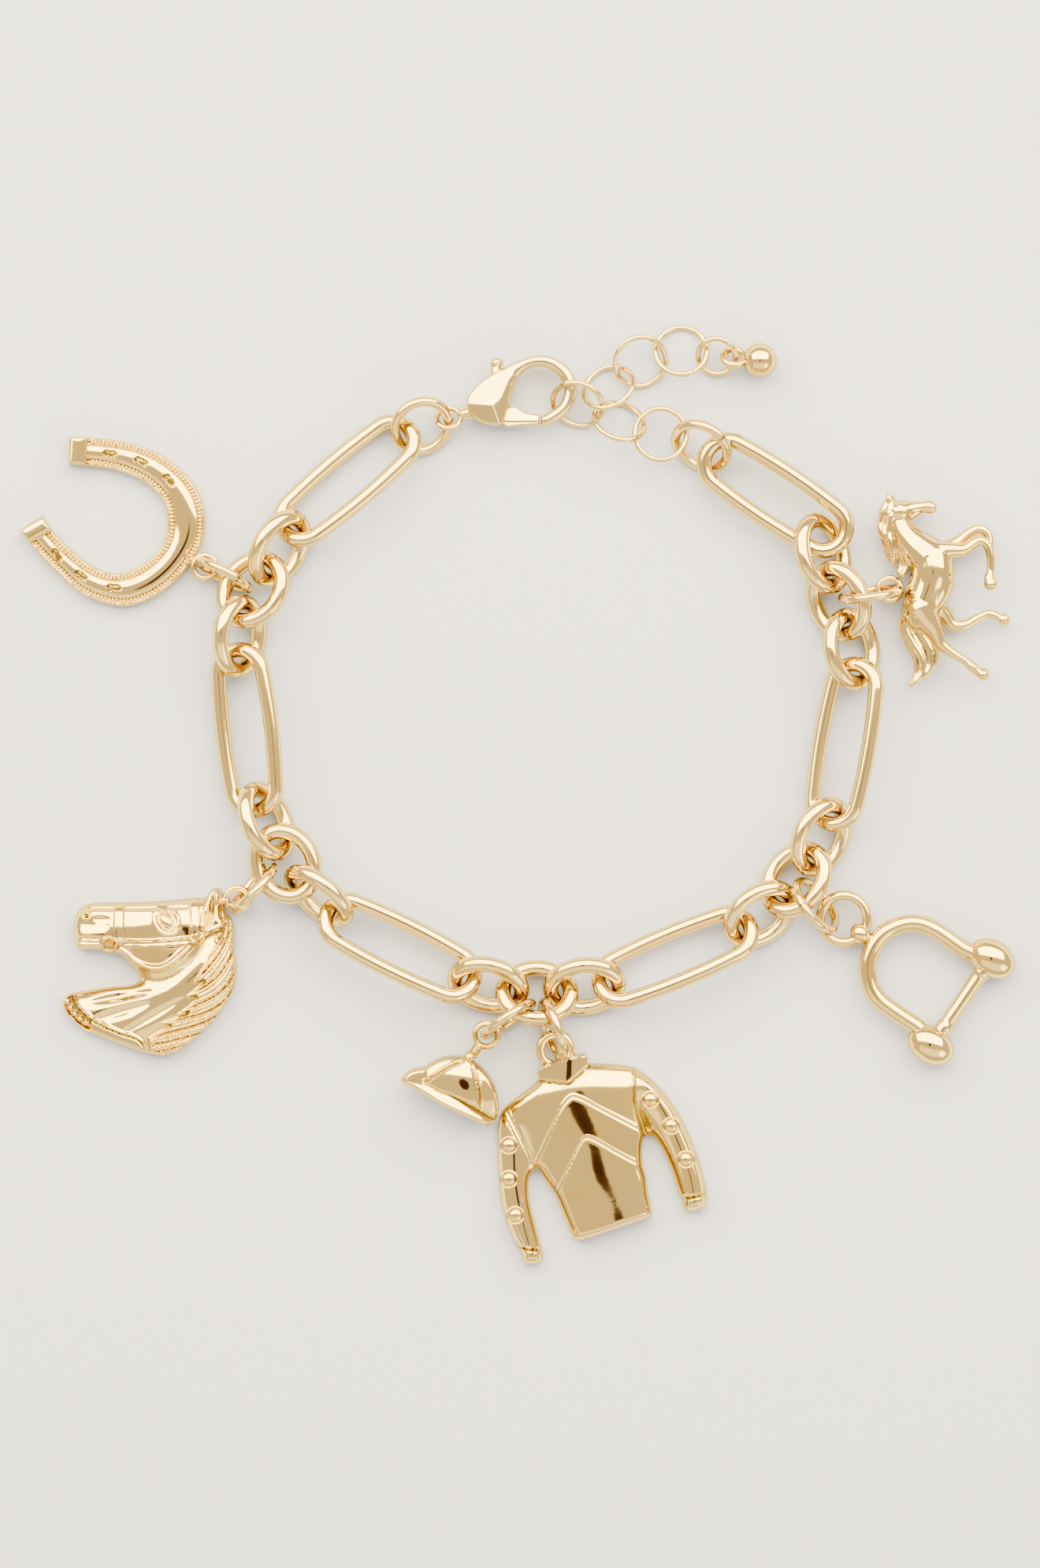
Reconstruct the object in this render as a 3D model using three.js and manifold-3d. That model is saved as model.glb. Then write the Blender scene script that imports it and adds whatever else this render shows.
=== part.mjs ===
// A gold charm bracelet lying in a loop on a table: a cable chain of six long links with three oval
// links between them, a lobster clasp, an extender of small rings that ends in a ball, and six charms
// on jump rings. Millimetres, +Z up. The table is z = 0 and the origin is under the middle of the piece.
import * as THREE from "three";
import { mergeVertices } from "three/addons/utils/BufferGeometryUtils.js";
import Module from "manifold-3d";

const wasm = await Module();
wasm.setup();

// Chain links: outer length, outer width and wire diameter.
const LONG_LENGTH = 18.0;
const LONG_WIDTH = 6.9;
const LONG_WIRE = 1.5;
const LONG_END_SHARE = 0.88; // half width at the ends over half width at the middle
const OVAL_LENGTH = 8.5;
const OVAL_WIDTH = 7.2;
const OVAL_WIRE = 1.55;

// Rings: outer diameter and wire diameter.
const END_RING = 6.6;
const END_RING_WIRE = 1.0;
const EXTENDER_RING = 5.8;
const EXTENDER_WIRE = 0.55;
const LAST_RING = 4.4;
const CHARM_RING = 6.7;
const CHARM_RING_WIRE = 0.9;
const BALL_DIAMETER = 3.5;
const BALL_LOOP = 2.9;
const BALL_LOOP_WIRE = 0.7;

// Eyes soldered to the charms and to the clasp: outer diameter and wire diameter.
const CHARM_EYE = 2.95;
const CHARM_EYE_WIRE = 0.58;
const CLASP_EYE = 2.9;
const CLASP_EYE_WIRE = 0.5;

const CLEARANCE = 0.25; // what the settling leaves between two wires that touch
const SLACK = 0.3; // how much further apart two joined wires may lie
const START_HEIGHT = 2.6; // every loop starts with its middle at this height, hooked through the next

const degrees = THREE.MathUtils.degToRad;

// Where the chain runs, seen from above, in the order of the chain from the clasp round to the extender:
// kind, middle in x and y, heading of its length, and lean. A positive lean lifts the side on the left.
const CHAIN = [
  { name: "end_ring_clasp", kind: "endRing", x: -10.0, y: 37.9, heading: 188, lean: -35 },
  { name: "long_link_1", kind: "long", x: -17.6, y: 32.1, heading: 220, lean: 18 },
  { name: "oval_link_1", kind: "oval", x: -24.3, y: 25.1, heading: 234, lean: -32 },
  { name: "oval_link_2", kind: "oval", x: -27.1, y: 21.0, heading: 230, lean: 32 },
  { name: "oval_link_3", kind: "oval", x: -28.3, y: 16.8, heading: 258, lean: -32 },
  { name: "long_link_2", kind: "long", x: -27.5, y: 6.7, heading: 275, lean: 18 },
  { name: "oval_link_4", kind: "oval", x: -25.8, y: -2.7, heading: 300, lean: -32 },
  { name: "oval_link_5", kind: "oval", x: -23.6, y: -7.4, heading: 297, lean: 8 },
  { name: "oval_link_6", kind: "oval", x: -20.2, y: -11.0, heading: 314, lean: 36 },
  { name: "long_link_3", kind: "long", x: -12.4, y: -16.0, heading: 335, lean: -18 },
  { name: "oval_link_7", kind: "oval", x: -3.0, y: -19.9, heading: 341, lean: 32 },
  { name: "oval_link_8", kind: "oval", x: 1.8, y: -20.4, heading: 3, lean: -32 },
  { name: "oval_link_9", kind: "oval", x: 7.0, y: -19.9, heading: 4, lean: 32 },
  { name: "long_link_4", kind: "long", x: 16.2, y: -16.8, heading: 21, lean: -18 },
  { name: "oval_link_10", kind: "oval", x: 25.1, y: -12.2, heading: 38, lean: 32 },
  { name: "oval_link_11", kind: "oval", x: 28.7, y: -8.8, heading: 55, lean: -32 },
  { name: "oval_link_12", kind: "oval", x: 31.4, y: -4.2, heading: 62, lean: 32 },
  { name: "long_link_5", kind: "long", x: 34.0, y: 5.1, heading: 80, lean: -18 },
  { name: "oval_link_13", kind: "oval", x: 34.6, y: 14.9, heading: 102, lean: 32 },
  { name: "oval_link_14", kind: "oval", x: 33.2, y: 19.5, heading: 109, lean: -32 },
  { name: "oval_link_15", kind: "oval", x: 30.9, y: 24.4, heading: 112, lean: 36 },
  { name: "long_link_6", kind: "long", x: 26.8, y: 30.6, heading: 148, lean: -6 },
  { name: "end_ring_extender", kind: "endRing", x: 19.5, y: 35.4, heading: 152, lean: -38 },
  { name: "extender_ring_1", kind: "extender", x: 14.7, y: 36.7, heading: 162, lean: 12 },
  { name: "extender_ring_2", kind: "extender", x: 10.4, y: 38.2, heading: 165, lean: 46 },
  { name: "extender_ring_3", kind: "extender", x: 6.6, y: 39.3, z: 1.85, heading: 162, lean: -36 },
  { name: "extender_ring_4", kind: "extender", x: 9.9, y: 41.8, heading: 42, lean: -40 },
  { name: "extender_ring_5", kind: "extender", x: 12.6, y: 44.2, heading: 26, lean: 30 },
  { name: "extender_ring_6", kind: "extender", x: 16.8, y: 45.2, heading: 4, lean: -30 },
  { name: "extender_ring_7", kind: "lastRing", x: 20.5, y: 44.8, heading: -4, lean: 22 },
];

// The rings that carry the charms: each runs from its charm's eye to the chain link it hangs on.
const CHARM_RINGS = [
  { name: "horseshoe_ring", link: "oval_link_2", x: -30.3, y: 22.3, heading: -29, lean: 76 },
  { name: "horse_head_ring", link: "oval_link_5", x: -26.6, y: -9.9, heading: 34, lean: -74 },
  { name: "cap_ring", link: "oval_link_8", x: -1.4, y: -22.7, heading: 40, lean: 48 },
  { name: "jersey_ring", link: "oval_link_8", x: 3.8, y: -23.4, heading: 117, lean: -72 },
  { name: "shackle_ring", link: "oval_link_11", x: 30.4, y: -11.5, heading: 134, lean: 64 },
  { name: "running_horse_ring", link: "oval_link_14", x: 36.0, y: 20.3, heading: 189, lean: 76 },
];

// Closed centrelines, in the x-y plane, with x along the length.

function ovalLine(length, width, wire, count) {
  const points = [];
  for (let i = 0; i < count; i++) {
    const turn = (2 * Math.PI * i) / count;
    points.push(new THREE.Vector3(
      ((length - wire) / 2) * Math.cos(turn),
      ((width - wire) / 2) * Math.sin(turn),
      0,
    ));
  }
  return points;
}

// Two half circles joined by sides that bow out a little towards the middle.
function longLine(length, width, wire, perEnd, perSide) {
  const middle = (width - wire) / 2;
  const end = middle * LONG_END_SHARE;
  const straight = (length - wire) / 2 - end;
  const half = [];
  for (let i = 0; i <= perEnd; i++) {
    const turn = -Math.PI / 2 + (Math.PI * i) / perEnd;
    half.push(new THREE.Vector3(straight + end * Math.cos(turn), end * Math.sin(turn), 0));
  }
  for (let i = 1; i <= perSide; i++) {
    const along = 1 - (2 * i) / (perSide + 1);
    half.push(new THREE.Vector3(straight * along, end + (middle - end) * (1 - along * along), 0));
  }
  return [...half, ...half.map((p) => new THREE.Vector3(-p.x, -p.y, 0))];
}

const LINE_KINDS = {
  long: { wire: LONG_WIRE, line: longLine(LONG_LENGTH, LONG_WIDTH, LONG_WIRE, 6, 3), sides: 6 },
  oval: { wire: OVAL_WIRE, line: ovalLine(OVAL_LENGTH, OVAL_WIDTH, OVAL_WIRE, 14), sides: 6 },
  endRing: { wire: END_RING_WIRE, line: ovalLine(END_RING, END_RING, END_RING_WIRE, 14), sides: 5 },
  extender: {
    wire: EXTENDER_WIRE,
    line: ovalLine(EXTENDER_RING, EXTENDER_RING, EXTENDER_WIRE, 14),
    sides: 5,
  },
  lastRing: { wire: EXTENDER_WIRE, line: ovalLine(LAST_RING, LAST_RING, EXTENDER_WIRE, 12), sides: 5 },
  charmRing: {
    wire: CHARM_RING_WIRE,
    line: ovalLine(CHARM_RING, CHARM_RING, CHARM_RING_WIRE, 14),
    sides: 5,
  },
};

// A closed ring of round wire about a flat centreline.
function wireGeometry(line, wire, sides) {
  const positions = [];
  const faces = [];
  const up = new THREE.Vector3(0, 0, 1);
  const count = line.length;
  line.forEach((point, i) => {
    const along = line[(i + 1) % count].clone().sub(line[(i + count - 1) % count]).normalize();
    const outward = new THREE.Vector3().crossVectors(along, up);
    for (let k = 0; k < sides; k++) {
      const turn = (2 * Math.PI * k) / sides;
      const corner = point.clone()
        .addScaledVector(outward, (wire / 2) * Math.cos(turn))
        .addScaledVector(up, (wire / 2) * Math.sin(turn));
      positions.push(corner.x, corner.y, corner.z);
    }
  });
  for (let i = 0; i < count; i++) {
    for (let k = 0; k < sides; k++) {
      const a = i * sides + k;
      const b = i * sides + ((k + 1) % sides);
      const c = ((i + 1) % count) * sides + ((k + 1) % sides);
      const d = ((i + 1) % count) * sides + k;
      faces.push(a, d, c, a, c, b);
    }
  }
  const geometry = new THREE.BufferGeometry();
  geometry.setAttribute("position", new THREE.Float32BufferAttribute(positions, 3));
  geometry.setIndex(faces);
  return geometry;
}

// The settling: every loop of wire is a stiff body that is drawn to its place in the table above,
// sinks to the table top, and is pushed off whatever its wire comes too close to.

class Loop {
  constructor({ line, wire, x, y, z, heading, lean, fixed = false }) {
    this.line = line;
    this.wire = wire;
    this.fixed = fixed;
    this.turn = new THREE.Quaternion()
      .setFromAxisAngle(new THREE.Vector3(0, 0, 1), degrees(heading))
      .multiply(new THREE.Quaternion().setFromAxisAngle(new THREE.Vector3(1, 0, 0), degrees(lean)));
    this.place = new THREE.Vector3(x, y, z ?? START_HEIGHT);
    this.aimTurn = this.turn.clone();
    this.aimPlace = this.place.clone();
    this.spread = 0.7 * Math.max(...line.map((p) => p.length()));
    this.points = line.map(() => new THREE.Vector3());
    this.update();
  }

  update() {
    this.line.forEach((p, i) => this.points[i].copy(p).applyQuaternion(this.turn).add(this.place));
  }

  // How hard it is to move this body at a point by pushing along a direction.
  give(arm, direction) {
    if (this.fixed) return 0;
    return 1 + arm.clone().cross(direction).lengthSq() / this.spread ** 2;
  }

  push(arm, direction, amount) {
    if (this.fixed) return;
    this.place.addScaledVector(direction, amount);
    const twist = arm.clone().cross(direction).multiplyScalar(amount / this.spread ** 2);
    const angle = twist.length();
    if (angle > 1e-9) {
      this.turn.premultiply(new THREE.Quaternion().setFromAxisAngle(twist.divideScalar(angle), angle));
      this.turn.normalize();
    }
    this.update();
  }

  drawToAim(placeShare, turnShare) {
    if (this.fixed) return;
    this.place.x += placeShare * (this.aimPlace.x - this.place.x);
    this.place.y += placeShare * (this.aimPlace.y - this.place.y);
    this.turn.slerp(this.aimTurn, turnShare);
    this.update();
  }
}

// The nearest two points of two closed centrelines.
function nearest(a, b) {
  let best = Infinity;
  let onA = null;
  let onB = null;
  const spot = new THREE.Vector3();
  const test = (from, to, swapped) => {
    for (const p of from.points) {
      for (let k = 0; k < to.points.length; k++) {
        const s = to.points[k];
        const e = to.points[(k + 1) % to.points.length];
        const dx = e.x - s.x;
        const dy = e.y - s.y;
        const dz = e.z - s.z;
        const share = ((p.x - s.x) * dx + (p.y - s.y) * dy + (p.z - s.z) * dz) / (dx * dx + dy * dy + dz * dz);
        const t = Math.min(1, Math.max(0, share));
        spot.set(s.x + t * dx, s.y + t * dy, s.z + t * dz);
        const far = spot.distanceToSquared(p);
        if (far < best) {
          best = far;
          onA = swapped ? spot.clone() : p.clone();
          onB = swapped ? p.clone() : spot.clone();
        }
      }
    }
  };
  test(a, b, false);
  test(b, a, true);
  return { onA, onB, distance: Math.sqrt(best) };
}

// Sets two loops the named clearance apart where they are nearest. Joined loops are also drawn together.
function setApart(a, b, joined, share) {
  const { onA, onB, distance } = nearest(a, b);
  const wanted = (a.wire + b.wire) / 2 + CLEARANCE;
  let short = wanted - distance;
  if (joined && short < -SLACK) short += SLACK;
  else if (short <= 0) return;
  const direction = onA.clone().sub(onB).divideScalar(Math.max(distance, 1e-6));
  const armA = onA.sub(a.place);
  const armB = onB.sub(b.place);
  const give = a.give(armA, direction) + b.give(armB, direction);
  if (give === 0) return;
  a.push(armA, direction, (share * short) / give);
  b.push(armB, direction, (-share * short) / give);
}

function liftOffTable(loop, share) {
  if (loop.fixed) return;
  const up = new THREE.Vector3(0, 0, 1);
  const lowest = loop.points.reduce((low, p) => (p.z < low.z ? p : low));
  const short = loop.wire / 2 - lowest.z;
  if (short <= 0) return;
  const arm = lowest.clone().sub(loop.place);
  loop.push(arm, up, (share * short) / loop.give(arm, up));
}

function settle(loops, joins, neighbours) {
  const drawn = 400;
  const freed = 600;
  for (let round = 0; round < drawn + freed; round++) {
    const calming = round >= drawn;
    for (const loop of loops) {
      if (!calming) loop.drawToAim(0.015, 0.06);
      if (!loop.fixed && !calming) loop.place.z -= 0.01;
    }
    for (let pass = 0; pass < 3; pass++) {
      for (const [a, b] of joins) setApart(a, b, true, 0.5);
      for (const [a, b] of neighbours) setApart(a, b, false, 0.5);
      for (const loop of loops) liftOffTable(loop, 0.8);
    }
  }
}

// Solids: helpers that join, cut and shape.

function toSolid(geometry) {
  const bare = geometry.clone();
  bare.deleteAttribute("normal");
  bare.deleteAttribute("uv");
  const merged = mergeVertices(bare, 1e-4);
  return new wasm.Manifold(new wasm.Mesh({
    numProp: 3,
    vertProperties: new Float32Array(merged.attributes.position.array),
    triVerts: new Uint32Array(merged.index.array),
  }));
}

function toGeometry(solid) {
  const mesh = solid.getMesh();
  const geometry = new THREE.BufferGeometry();
  geometry.setAttribute("position", new THREE.BufferAttribute(mesh.vertProperties, 3));
  geometry.setIndex(new THREE.BufferAttribute(mesh.triVerts, 1));
  return geometry;
}

const joined = (solids) => solids.reduce((whole, solid) => whole.add(solid));

function ball(x, y, z, rx, ry = rx, rz = rx, around = 10, down = 6) {
  return toSolid(new THREE.SphereGeometry(1, around, down).scale(rx, ry, rz).translate(x, y, z));
}

// A round bar from one point to another, of one or two radii.
function bar(from, to, radius, endRadius = radius, sides = 10) {
  const a = new THREE.Vector3(...from);
  const b = new THREE.Vector3(...to);
  const length = a.distanceTo(b);
  const geometry = new THREE.CylinderGeometry(endRadius, radius, length, sides);
  const turn = new THREE.Quaternion().setFromUnitVectors(
    new THREE.Vector3(0, 1, 0),
    b.clone().sub(a).divideScalar(length),
  );
  return toSolid(geometry.applyQuaternion(turn).translate(...a.add(b).multiplyScalar(0.5).toArray()));
}

// A limb: a round tube through a list of [x, y, radius] at one height, with rounded ends, flattened in z.
function limb(stations, z, flat = 1, sides = 8) {
  const rings = stations.map(([x, y, r], i) => {
    const before = stations[Math.max(0, i - 1)];
    const after = stations[Math.min(stations.length - 1, i + 1)];
    const along = new THREE.Vector2(after[0] - before[0], after[1] - before[1]).normalize();
    return { x, y, r, along };
  });
  const first = rings[0];
  const last = rings[rings.length - 1];
  const cap = ({ x, y, r, along }, sign) => ({
    x: x + sign * 0.7 * r * along.x, y: y + sign * 0.7 * r * along.y, r: 0.7 * r, along,
  });
  const all = [cap(first, -1), ...rings, cap(last, 1)];
  const positions = [];
  for (const { x, y, r, along } of all) {
    for (let k = 0; k < sides; k++) {
      const turn = (2 * Math.PI * k) / sides;
      const out = r * Math.cos(turn);
      positions.push(x + along.y * out, y - along.x * out, flat * r * Math.sin(turn));
    }
  }
  const tips = [-1, 1].map((sign) => {
    const { x, y, r, along } = sign < 0 ? first : last;
    positions.push(x + sign * r * along.x, y + sign * r * along.y, 0);
    return positions.length / 3 - 1;
  });
  const faces = [];
  for (let k = 0; k < sides; k++) {
    const next = (k + 1) % sides;
    faces.push(tips[0], k, next);
    for (let i = 0; i + 1 < all.length; i++) {
      const a = i * sides;
      const b = a + sides;
      faces.push(a + k, b + k, b + next, a + k, b + next, a + next);
    }
    const end = (all.length - 1) * sides;
    faces.push(tips[1], end + next, end + k);
  }
  const geometry = new THREE.BufferGeometry();
  geometry.setAttribute("position", new THREE.Float32BufferAttribute(positions, 3));
  geometry.setIndex(faces);
  return toSolid(geometry.translate(0, 0, z));
}

function distanceToPath(x, y, path, closed = false) {
  let best = Infinity;
  const last = closed ? path.length : path.length - 1;
  for (let i = 0; i < last; i++) {
    const [ax, ay] = path[i];
    const [bx, by] = path[(i + 1) % path.length];
    const dx = bx - ax;
    const dy = by - ay;
    const t = Math.min(1, Math.max(0, ((x - ax) * dx + (y - ay) * dy) / (dx * dx + dy * dy)));
    best = Math.min(best, Math.hypot(x - ax - t * dx, y - ay - t * dy));
  }
  return best;
}

// A prism over an outline, from z = 0 to a height.
function prism(outline, height) {
  const shape = new THREE.Shape(outline.map(([x, y]) => new THREE.Vector2(x, y)));
  return toSolid(new THREE.ExtrudeGeometry(shape, { depth: height, bevelEnabled: false }));
}

// A relief with a flat back: a block whose top follows a height over x and y, cut to an outline.
function relief(outline, step, height) {
  const xs = outline.map((p) => p[0]);
  const ys = outline.map((p) => p[1]);
  const left = Math.min(...xs) - 0.1;
  const bottom = Math.min(...ys) - 0.1;
  const across = Math.ceil((Math.max(...xs) + 0.1 - left) / step);
  const down = Math.ceil((Math.max(...ys) + 0.1 - bottom) / step);
  const positions = [];
  for (let level = 0; level < 2; level++) {
    for (let j = 0; j <= down; j++) {
      for (let i = 0; i <= across; i++) {
        const x = left + i * step;
        const y = bottom + j * step;
        positions.push(x, y, level * height(x, y, distanceToPath(x, y, outline, true)));
      }
    }
  }
  const row = across + 1;
  const top = row * (down + 1);
  const faces = [];
  const quad = (a, b, c, d) => faces.push(a, b, c, a, c, d);
  for (let j = 0; j < down; j++) {
    for (let i = 0; i < across; i++) {
      const a = j * row + i;
      quad(top + a, top + a + 1, top + a + row + 1, top + a + row);
      quad(a, a + row, a + row + 1, a + 1);
    }
  }
  for (let i = 0; i < across; i++) {
    quad(i, i + 1, top + i + 1, top + i);
    const back = down * row + i;
    quad(back + 1, back, top + back, top + back + 1);
  }
  for (let j = 0; j < down; j++) {
    const a = j * row;
    quad(a + row, a, top + a, top + a + row);
    const b = a + across;
    quad(b, b + row, top + b + row, top + b);
  }
  const geometry = new THREE.BufferGeometry();
  geometry.setAttribute("position", new THREE.Float32BufferAttribute(positions, 3));
  geometry.setIndex(faces);
  return toSolid(geometry).intersect(prism(outline, 20)).simplify(0.06);
}

// A dome that rises from an edge height and levels off at a distance from the outline.
function domed(distance, edge, full, reach) {
  const inward = 1 - Math.min(1, distance / reach);
  return edge + (full - edge) * Math.sqrt(1 - inward * inward);
}

// A soldered eye: a ring of wire at a place, turned about its own heading by a tilt.
function eyeRing({ x, y, z, outer, wire, heading, tilt = 0 }) {
  const line = ovalLine(outer, outer, wire, 14);
  return { line, wire, x, y, z, heading, lean: tilt, fixed: true };
}

function eyeSolid(eye) {
  const plan = eyeRing(eye);
  return toSolid(wireGeometry(plan.line, plan.wire, 6)
    .applyQuaternion(new Loop(plan).turn).translate(eye.x, eye.y, eye.z));
}

// The charms. Each is drawn about its own middle, lying on its back, and then moved to its place.

const CHARM_PLACES = {
  horseshoe: [-40.4, 27.8],
  horse_head: [-37.6, -17.7],
  jockey_cap: [-6.0, -30.1],
  racing_jersey: [8.8, -35.4],
  shackle: [38.4, -17.3],
  running_horse: [43.6, 21.1],
  clasp: [0.3, 42.2],
};

const EYE_HEIGHT = 1.6; // a charm's ring has to pass under its eye

const charmEye = (x, y, heading, z = EYE_HEIGHT) => ({
  x, y, z, outer: CHARM_EYE, wire: CHARM_EYE_WIRE, heading,
});

const HORSESHOE_OUTER = [
  [-5.1, 8.7], [-3.5, 8.7], [-1.2, 8.4], [1.4, 8.0], [3.8, 7.1], [5.9, 5.7], [7.5, 4.0], [8.5, 2.0], [8.8, -0.2],
  [8.4, -2.3], [7.2, -4.4], [5.5, -6.3], [3.5, -7.7], [0.9, -8.6], [-1.5, -8.3], [-4.1, -7.2],
  [-6.3, -5.2], [-8.1, -3.4], [-9.1, -2.1], [-10.1, -0.8],
];
const HORSESHOE_INNER = [
  [-7.8, 0.6], [-7.1, -0.5], [-6.1, -1.6], [-4.3, -3.3], [-2.3, -4.7], [-0.3, -5.2], [1.7, -4.7], [3.5, -3.4],
  [4.5, -2.0], [4.9, -0.2], [4.5, 2.0], [3.1, 3.6], [0.9, 4.8], [-1.2, 5.4], [-3.5, 5.7],
  [-5.1, 5.8],
];
const HORSESHOE_THICK = 2.0;
const HEEL_RISE = 0.25; // how far the block at each end stands above the bar
const HEELS = [[[-4.3, 8.7], [-4.3, 5.8]], [[-9.6, -1.4], [-7.4, 0.1]]];
const HEEL_WIDTH = 1.5;
// Nail slots: middle, heading and length.
const NAIL_SLOTS = [
  [-0.9, 6.9, -8, 1.7], [2.3, 6.0, -28, 1.7], [5.1, 4.1, -52, 1.7],
  [-6.3, -3.4, -48, 1.7], [-3.8, -5.5, -38, 1.7], [-0.5, -6.7, -8, 1.7],
];

function horseshoe() {
  const outline = [...HORSESHOE_OUTER, ...HORSESHOE_INNER];
  const shoe = relief(outline, 0.8, (x, y, d) => {
    if (HEELS.some((heel) => distanceToPath(x, y, heel) < HEEL_WIDTH / 2)) return HORSESHOE_THICK + HEEL_RISE;
    return d > 0.95 ? HORSESHOE_THICK : domed(d, 0.9, 1.6, 0.7);
  });
  const slots = NAIL_SLOTS.map(([x, y, heading, length]) => toSolid(
    new THREE.BoxGeometry(length, 0.7, 1.6).rotateZ(degrees(heading)).translate(x, y, HORSESHOE_THICK),
  ));
  const eye = charmEye(8.75, -4.6, -28);
  return { solid: shoe.subtract(joined(slots)), eye, neck: [[7.0, -3.6, 1.0], [7.7, -4.0, 1.5]] };
}

const HEAD_OUTLINE = [
  [-7.0, 6.4], [-7.4, 4.3], [-7.5, 3.0], [-6.5, 1.6], [-4.6, 1.6], [-2.8, 1.4], [-1.8, 0.4],
  [-0.6, -0.8], [-1.0, -1.5], [-1.9, -1.7], [-3.9, -1.7], [-5.9, -2.1], [-7.5, -2.4], [-8.4, -2.9],
  [-8.4, -4.2], [-7.7, -5.1], [-6.5, -6.1], [-5.2, -6.7], [-3.2, -7.5], [-1.2, -8.2], [1.4, -8.8],
  [2.7, -8.6], [4.1, -7.8], [5.4, -6.7], [6.7, -5.4], [7.9, -3.9], [8.6, -2.7], [9.0, -1.7],
  [9.2, 0.3], [9.0, 1.6], [9.0, 3.6], [8.7, 5.0], [8.0, 5.9], [7.9, 7.2], [7.6, 8.1], [6.5, 8.1],
  [5.9, 7.3], [4.7, 7.3], [3.4, 7.1], [0.7, 6.9], [-2.0, 6.7], [-5.9, 6.7],
];
const HEAD_STRAPS = [
  [[-2.7, 6.6], [-2.7, 2.8], [0.9, 2.7], [4.8, 2.8], [5.0, 6.4]],
  [[-2.6, 1.6], [-1.2, 0.6], [0.1, -0.2], [1.4, -0.5], [2.7, 0.0], [4.1, 1.4], [4.8, 2.8]],
];
const HEAD_LOCKS = [
  [[8.7, 5.0], [7.6, 1.6], [4.9, -1.1]],
  [[9.0, 3.0], [7.4, -0.7], [4.3, -2.7]],
  [[9.0, 0.3], [6.7, -2.7], [3.3, -4.6]],
  [[8.0, -3.0], [5.4, -5.7], [2.7, -6.7]],
];

function horseHead() {
  const solid = relief(HEAD_OUTLINE, 0.62, (x, y, d) => {
    let z = domed(d, 1.2, 3.2, 2.6);
    if (HEAD_STRAPS.some((strap) => distanceToPath(x, y, strap) < 0.42)) z += 0.35;
    if (HEAD_LOCKS.some((lock) => distanceToPath(x, y, lock) < 0.5)) z += 0.45;
    if (Math.hypot(x + 6.0, y - 5.5) < 0.5) z -= 0.5;
    if (Math.hypot(x - 1.9, y - 4.8) < 0.8) z += 0.3;
    return z;
  });
  return { solid, eye: charmEye(9.25, 7.1, 20), neck: [[7.2, 6.8, 1.2], [8.1, 7.0, 1.5]] };
}

const JERSEY_OUTLINE = [
  [-6.7, 7.3], [-6.4, 7.8], [-1.8, 9.2], [-1.3, 8.2], [2.8, 7.8], [4.1, 7.2], [6.0, 5.5], [7.7, 3.2],
  [9.1, 0.3], [10.1, -2.5], [10.6, -4.8], [10.6, -6.4], [8.6, -6.9], [7.8, -5.5], [6.8, -2.5],
  [5.7, -0.1], [4.4, 0.7], [4.1, -2.2], [4.7, -5.0], [5.1, -7.4], [2.4, -8.5], [-0.2, -9.4],
  [-2.7, -10.0], [-3.9, -7.6], [-4.8, -5.5], [-6.7, -2.7], [-7.5, -3.8], [-7.4, -5.8], [-6.9, -7.9],
  [-6.2, -10.4], [-6.0, -11.8], [-7.4, -12.4], [-8.3, -11.0], [-9.5, -9.0], [-10.3, -6.3],
  [-10.7, -3.3], [-10.7, -0.1], [-10.5, 2.5], [-9.8, 3.7], [-6.7, 6.2],
];
const CHEVRONS = [
  [[-6.7, -1.7], [-3.3, 4.8], [3.9, 1.6]],
  [[-4.8, -5.1], [-2.0, 0.5], [4.1, -2.2]],
];
const BUTTONS = [[-9.4, -0.2], [-9.3, -3.7], [-8.4, -7.3], [4.8, 4.6], [6.8, 1.7], [8.4, -1.5]];

function racingJersey() {
  const solid = relief(JERSEY_OUTLINE, 0.8, (x, y, d) => {
    let z = domed(d, 0.9, 3.0, 2.8);
    if (CHEVRONS.some((band) => distanceToPath(x, y, band) < 0.45)) z += 0.35;
    return z;
  });
  const buttons = BUTTONS.map(([x, y]) => ball(x, y, 1.9, 0.75, 0.75, 1.1, 8, 5));
  const eye = charmEye(-4.8, 9.55, 108);
  eye.outer = 4.0;
  eye.wire = 0.85;
  return { solid: joined([solid, ...buttons]), eye, neck: [[-4.2, 7.4, 1.4], [-4.3, 8.0, 1.5]] };
}

const CAP_MIDDLE = [-0.3, -1.8];
const CAP_HEADING = -25.5; // of the edge of the cap, from the peak to the back
const CAP_HALF_DEPTH = 2.6;

function jockeyCap() {
  const dome = toSolid(new THREE.SphereGeometry(1, 20, 10).scale(4.3, 5.3, CAP_HALF_DEPTH - 0.15));
  const above = toSolid(new THREE.BoxGeometry(20, 10, 20).translate(0, 5.0, 0));
  const band = toSolid(new THREE.CylinderGeometry(4.15, 4.15, 0.9, 22)
    .scale(1, 1, CAP_HALF_DEPTH / 4.15).translate(0.1, 0.45, 0));
  const peak = toSolid(new THREE.CylinderGeometry(3.0, 3.3, 0.55, 18)
    .scale(1, 1, 0.72).rotateZ(degrees(12)).translate(-3.3, 0.75, 0));
  const cap = joined([dome.translate([-0.4, 0, 0]).intersect(above), band, peak])
    .rotate([0, 0, CAP_HEADING])
    .translate([CAP_MIDDLE[0], CAP_MIDDLE[1], CAP_HALF_DEPTH]);
  const knob = ball(1.3, 3.4, CAP_HALF_DEPTH, 0.55);
  const stem = bar([1.4, 3.5, CAP_HALF_DEPTH], [2.3, 4.75, CAP_HALF_DEPTH], 0.42, 0.34, 8);
  const eye = charmEye(3.0, 5.75, 56, CAP_HALF_DEPTH);
  eye.outer = 2.6;
  return { solid: joined([cap, knob, stem]), eye, neck: [] };
}

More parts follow.
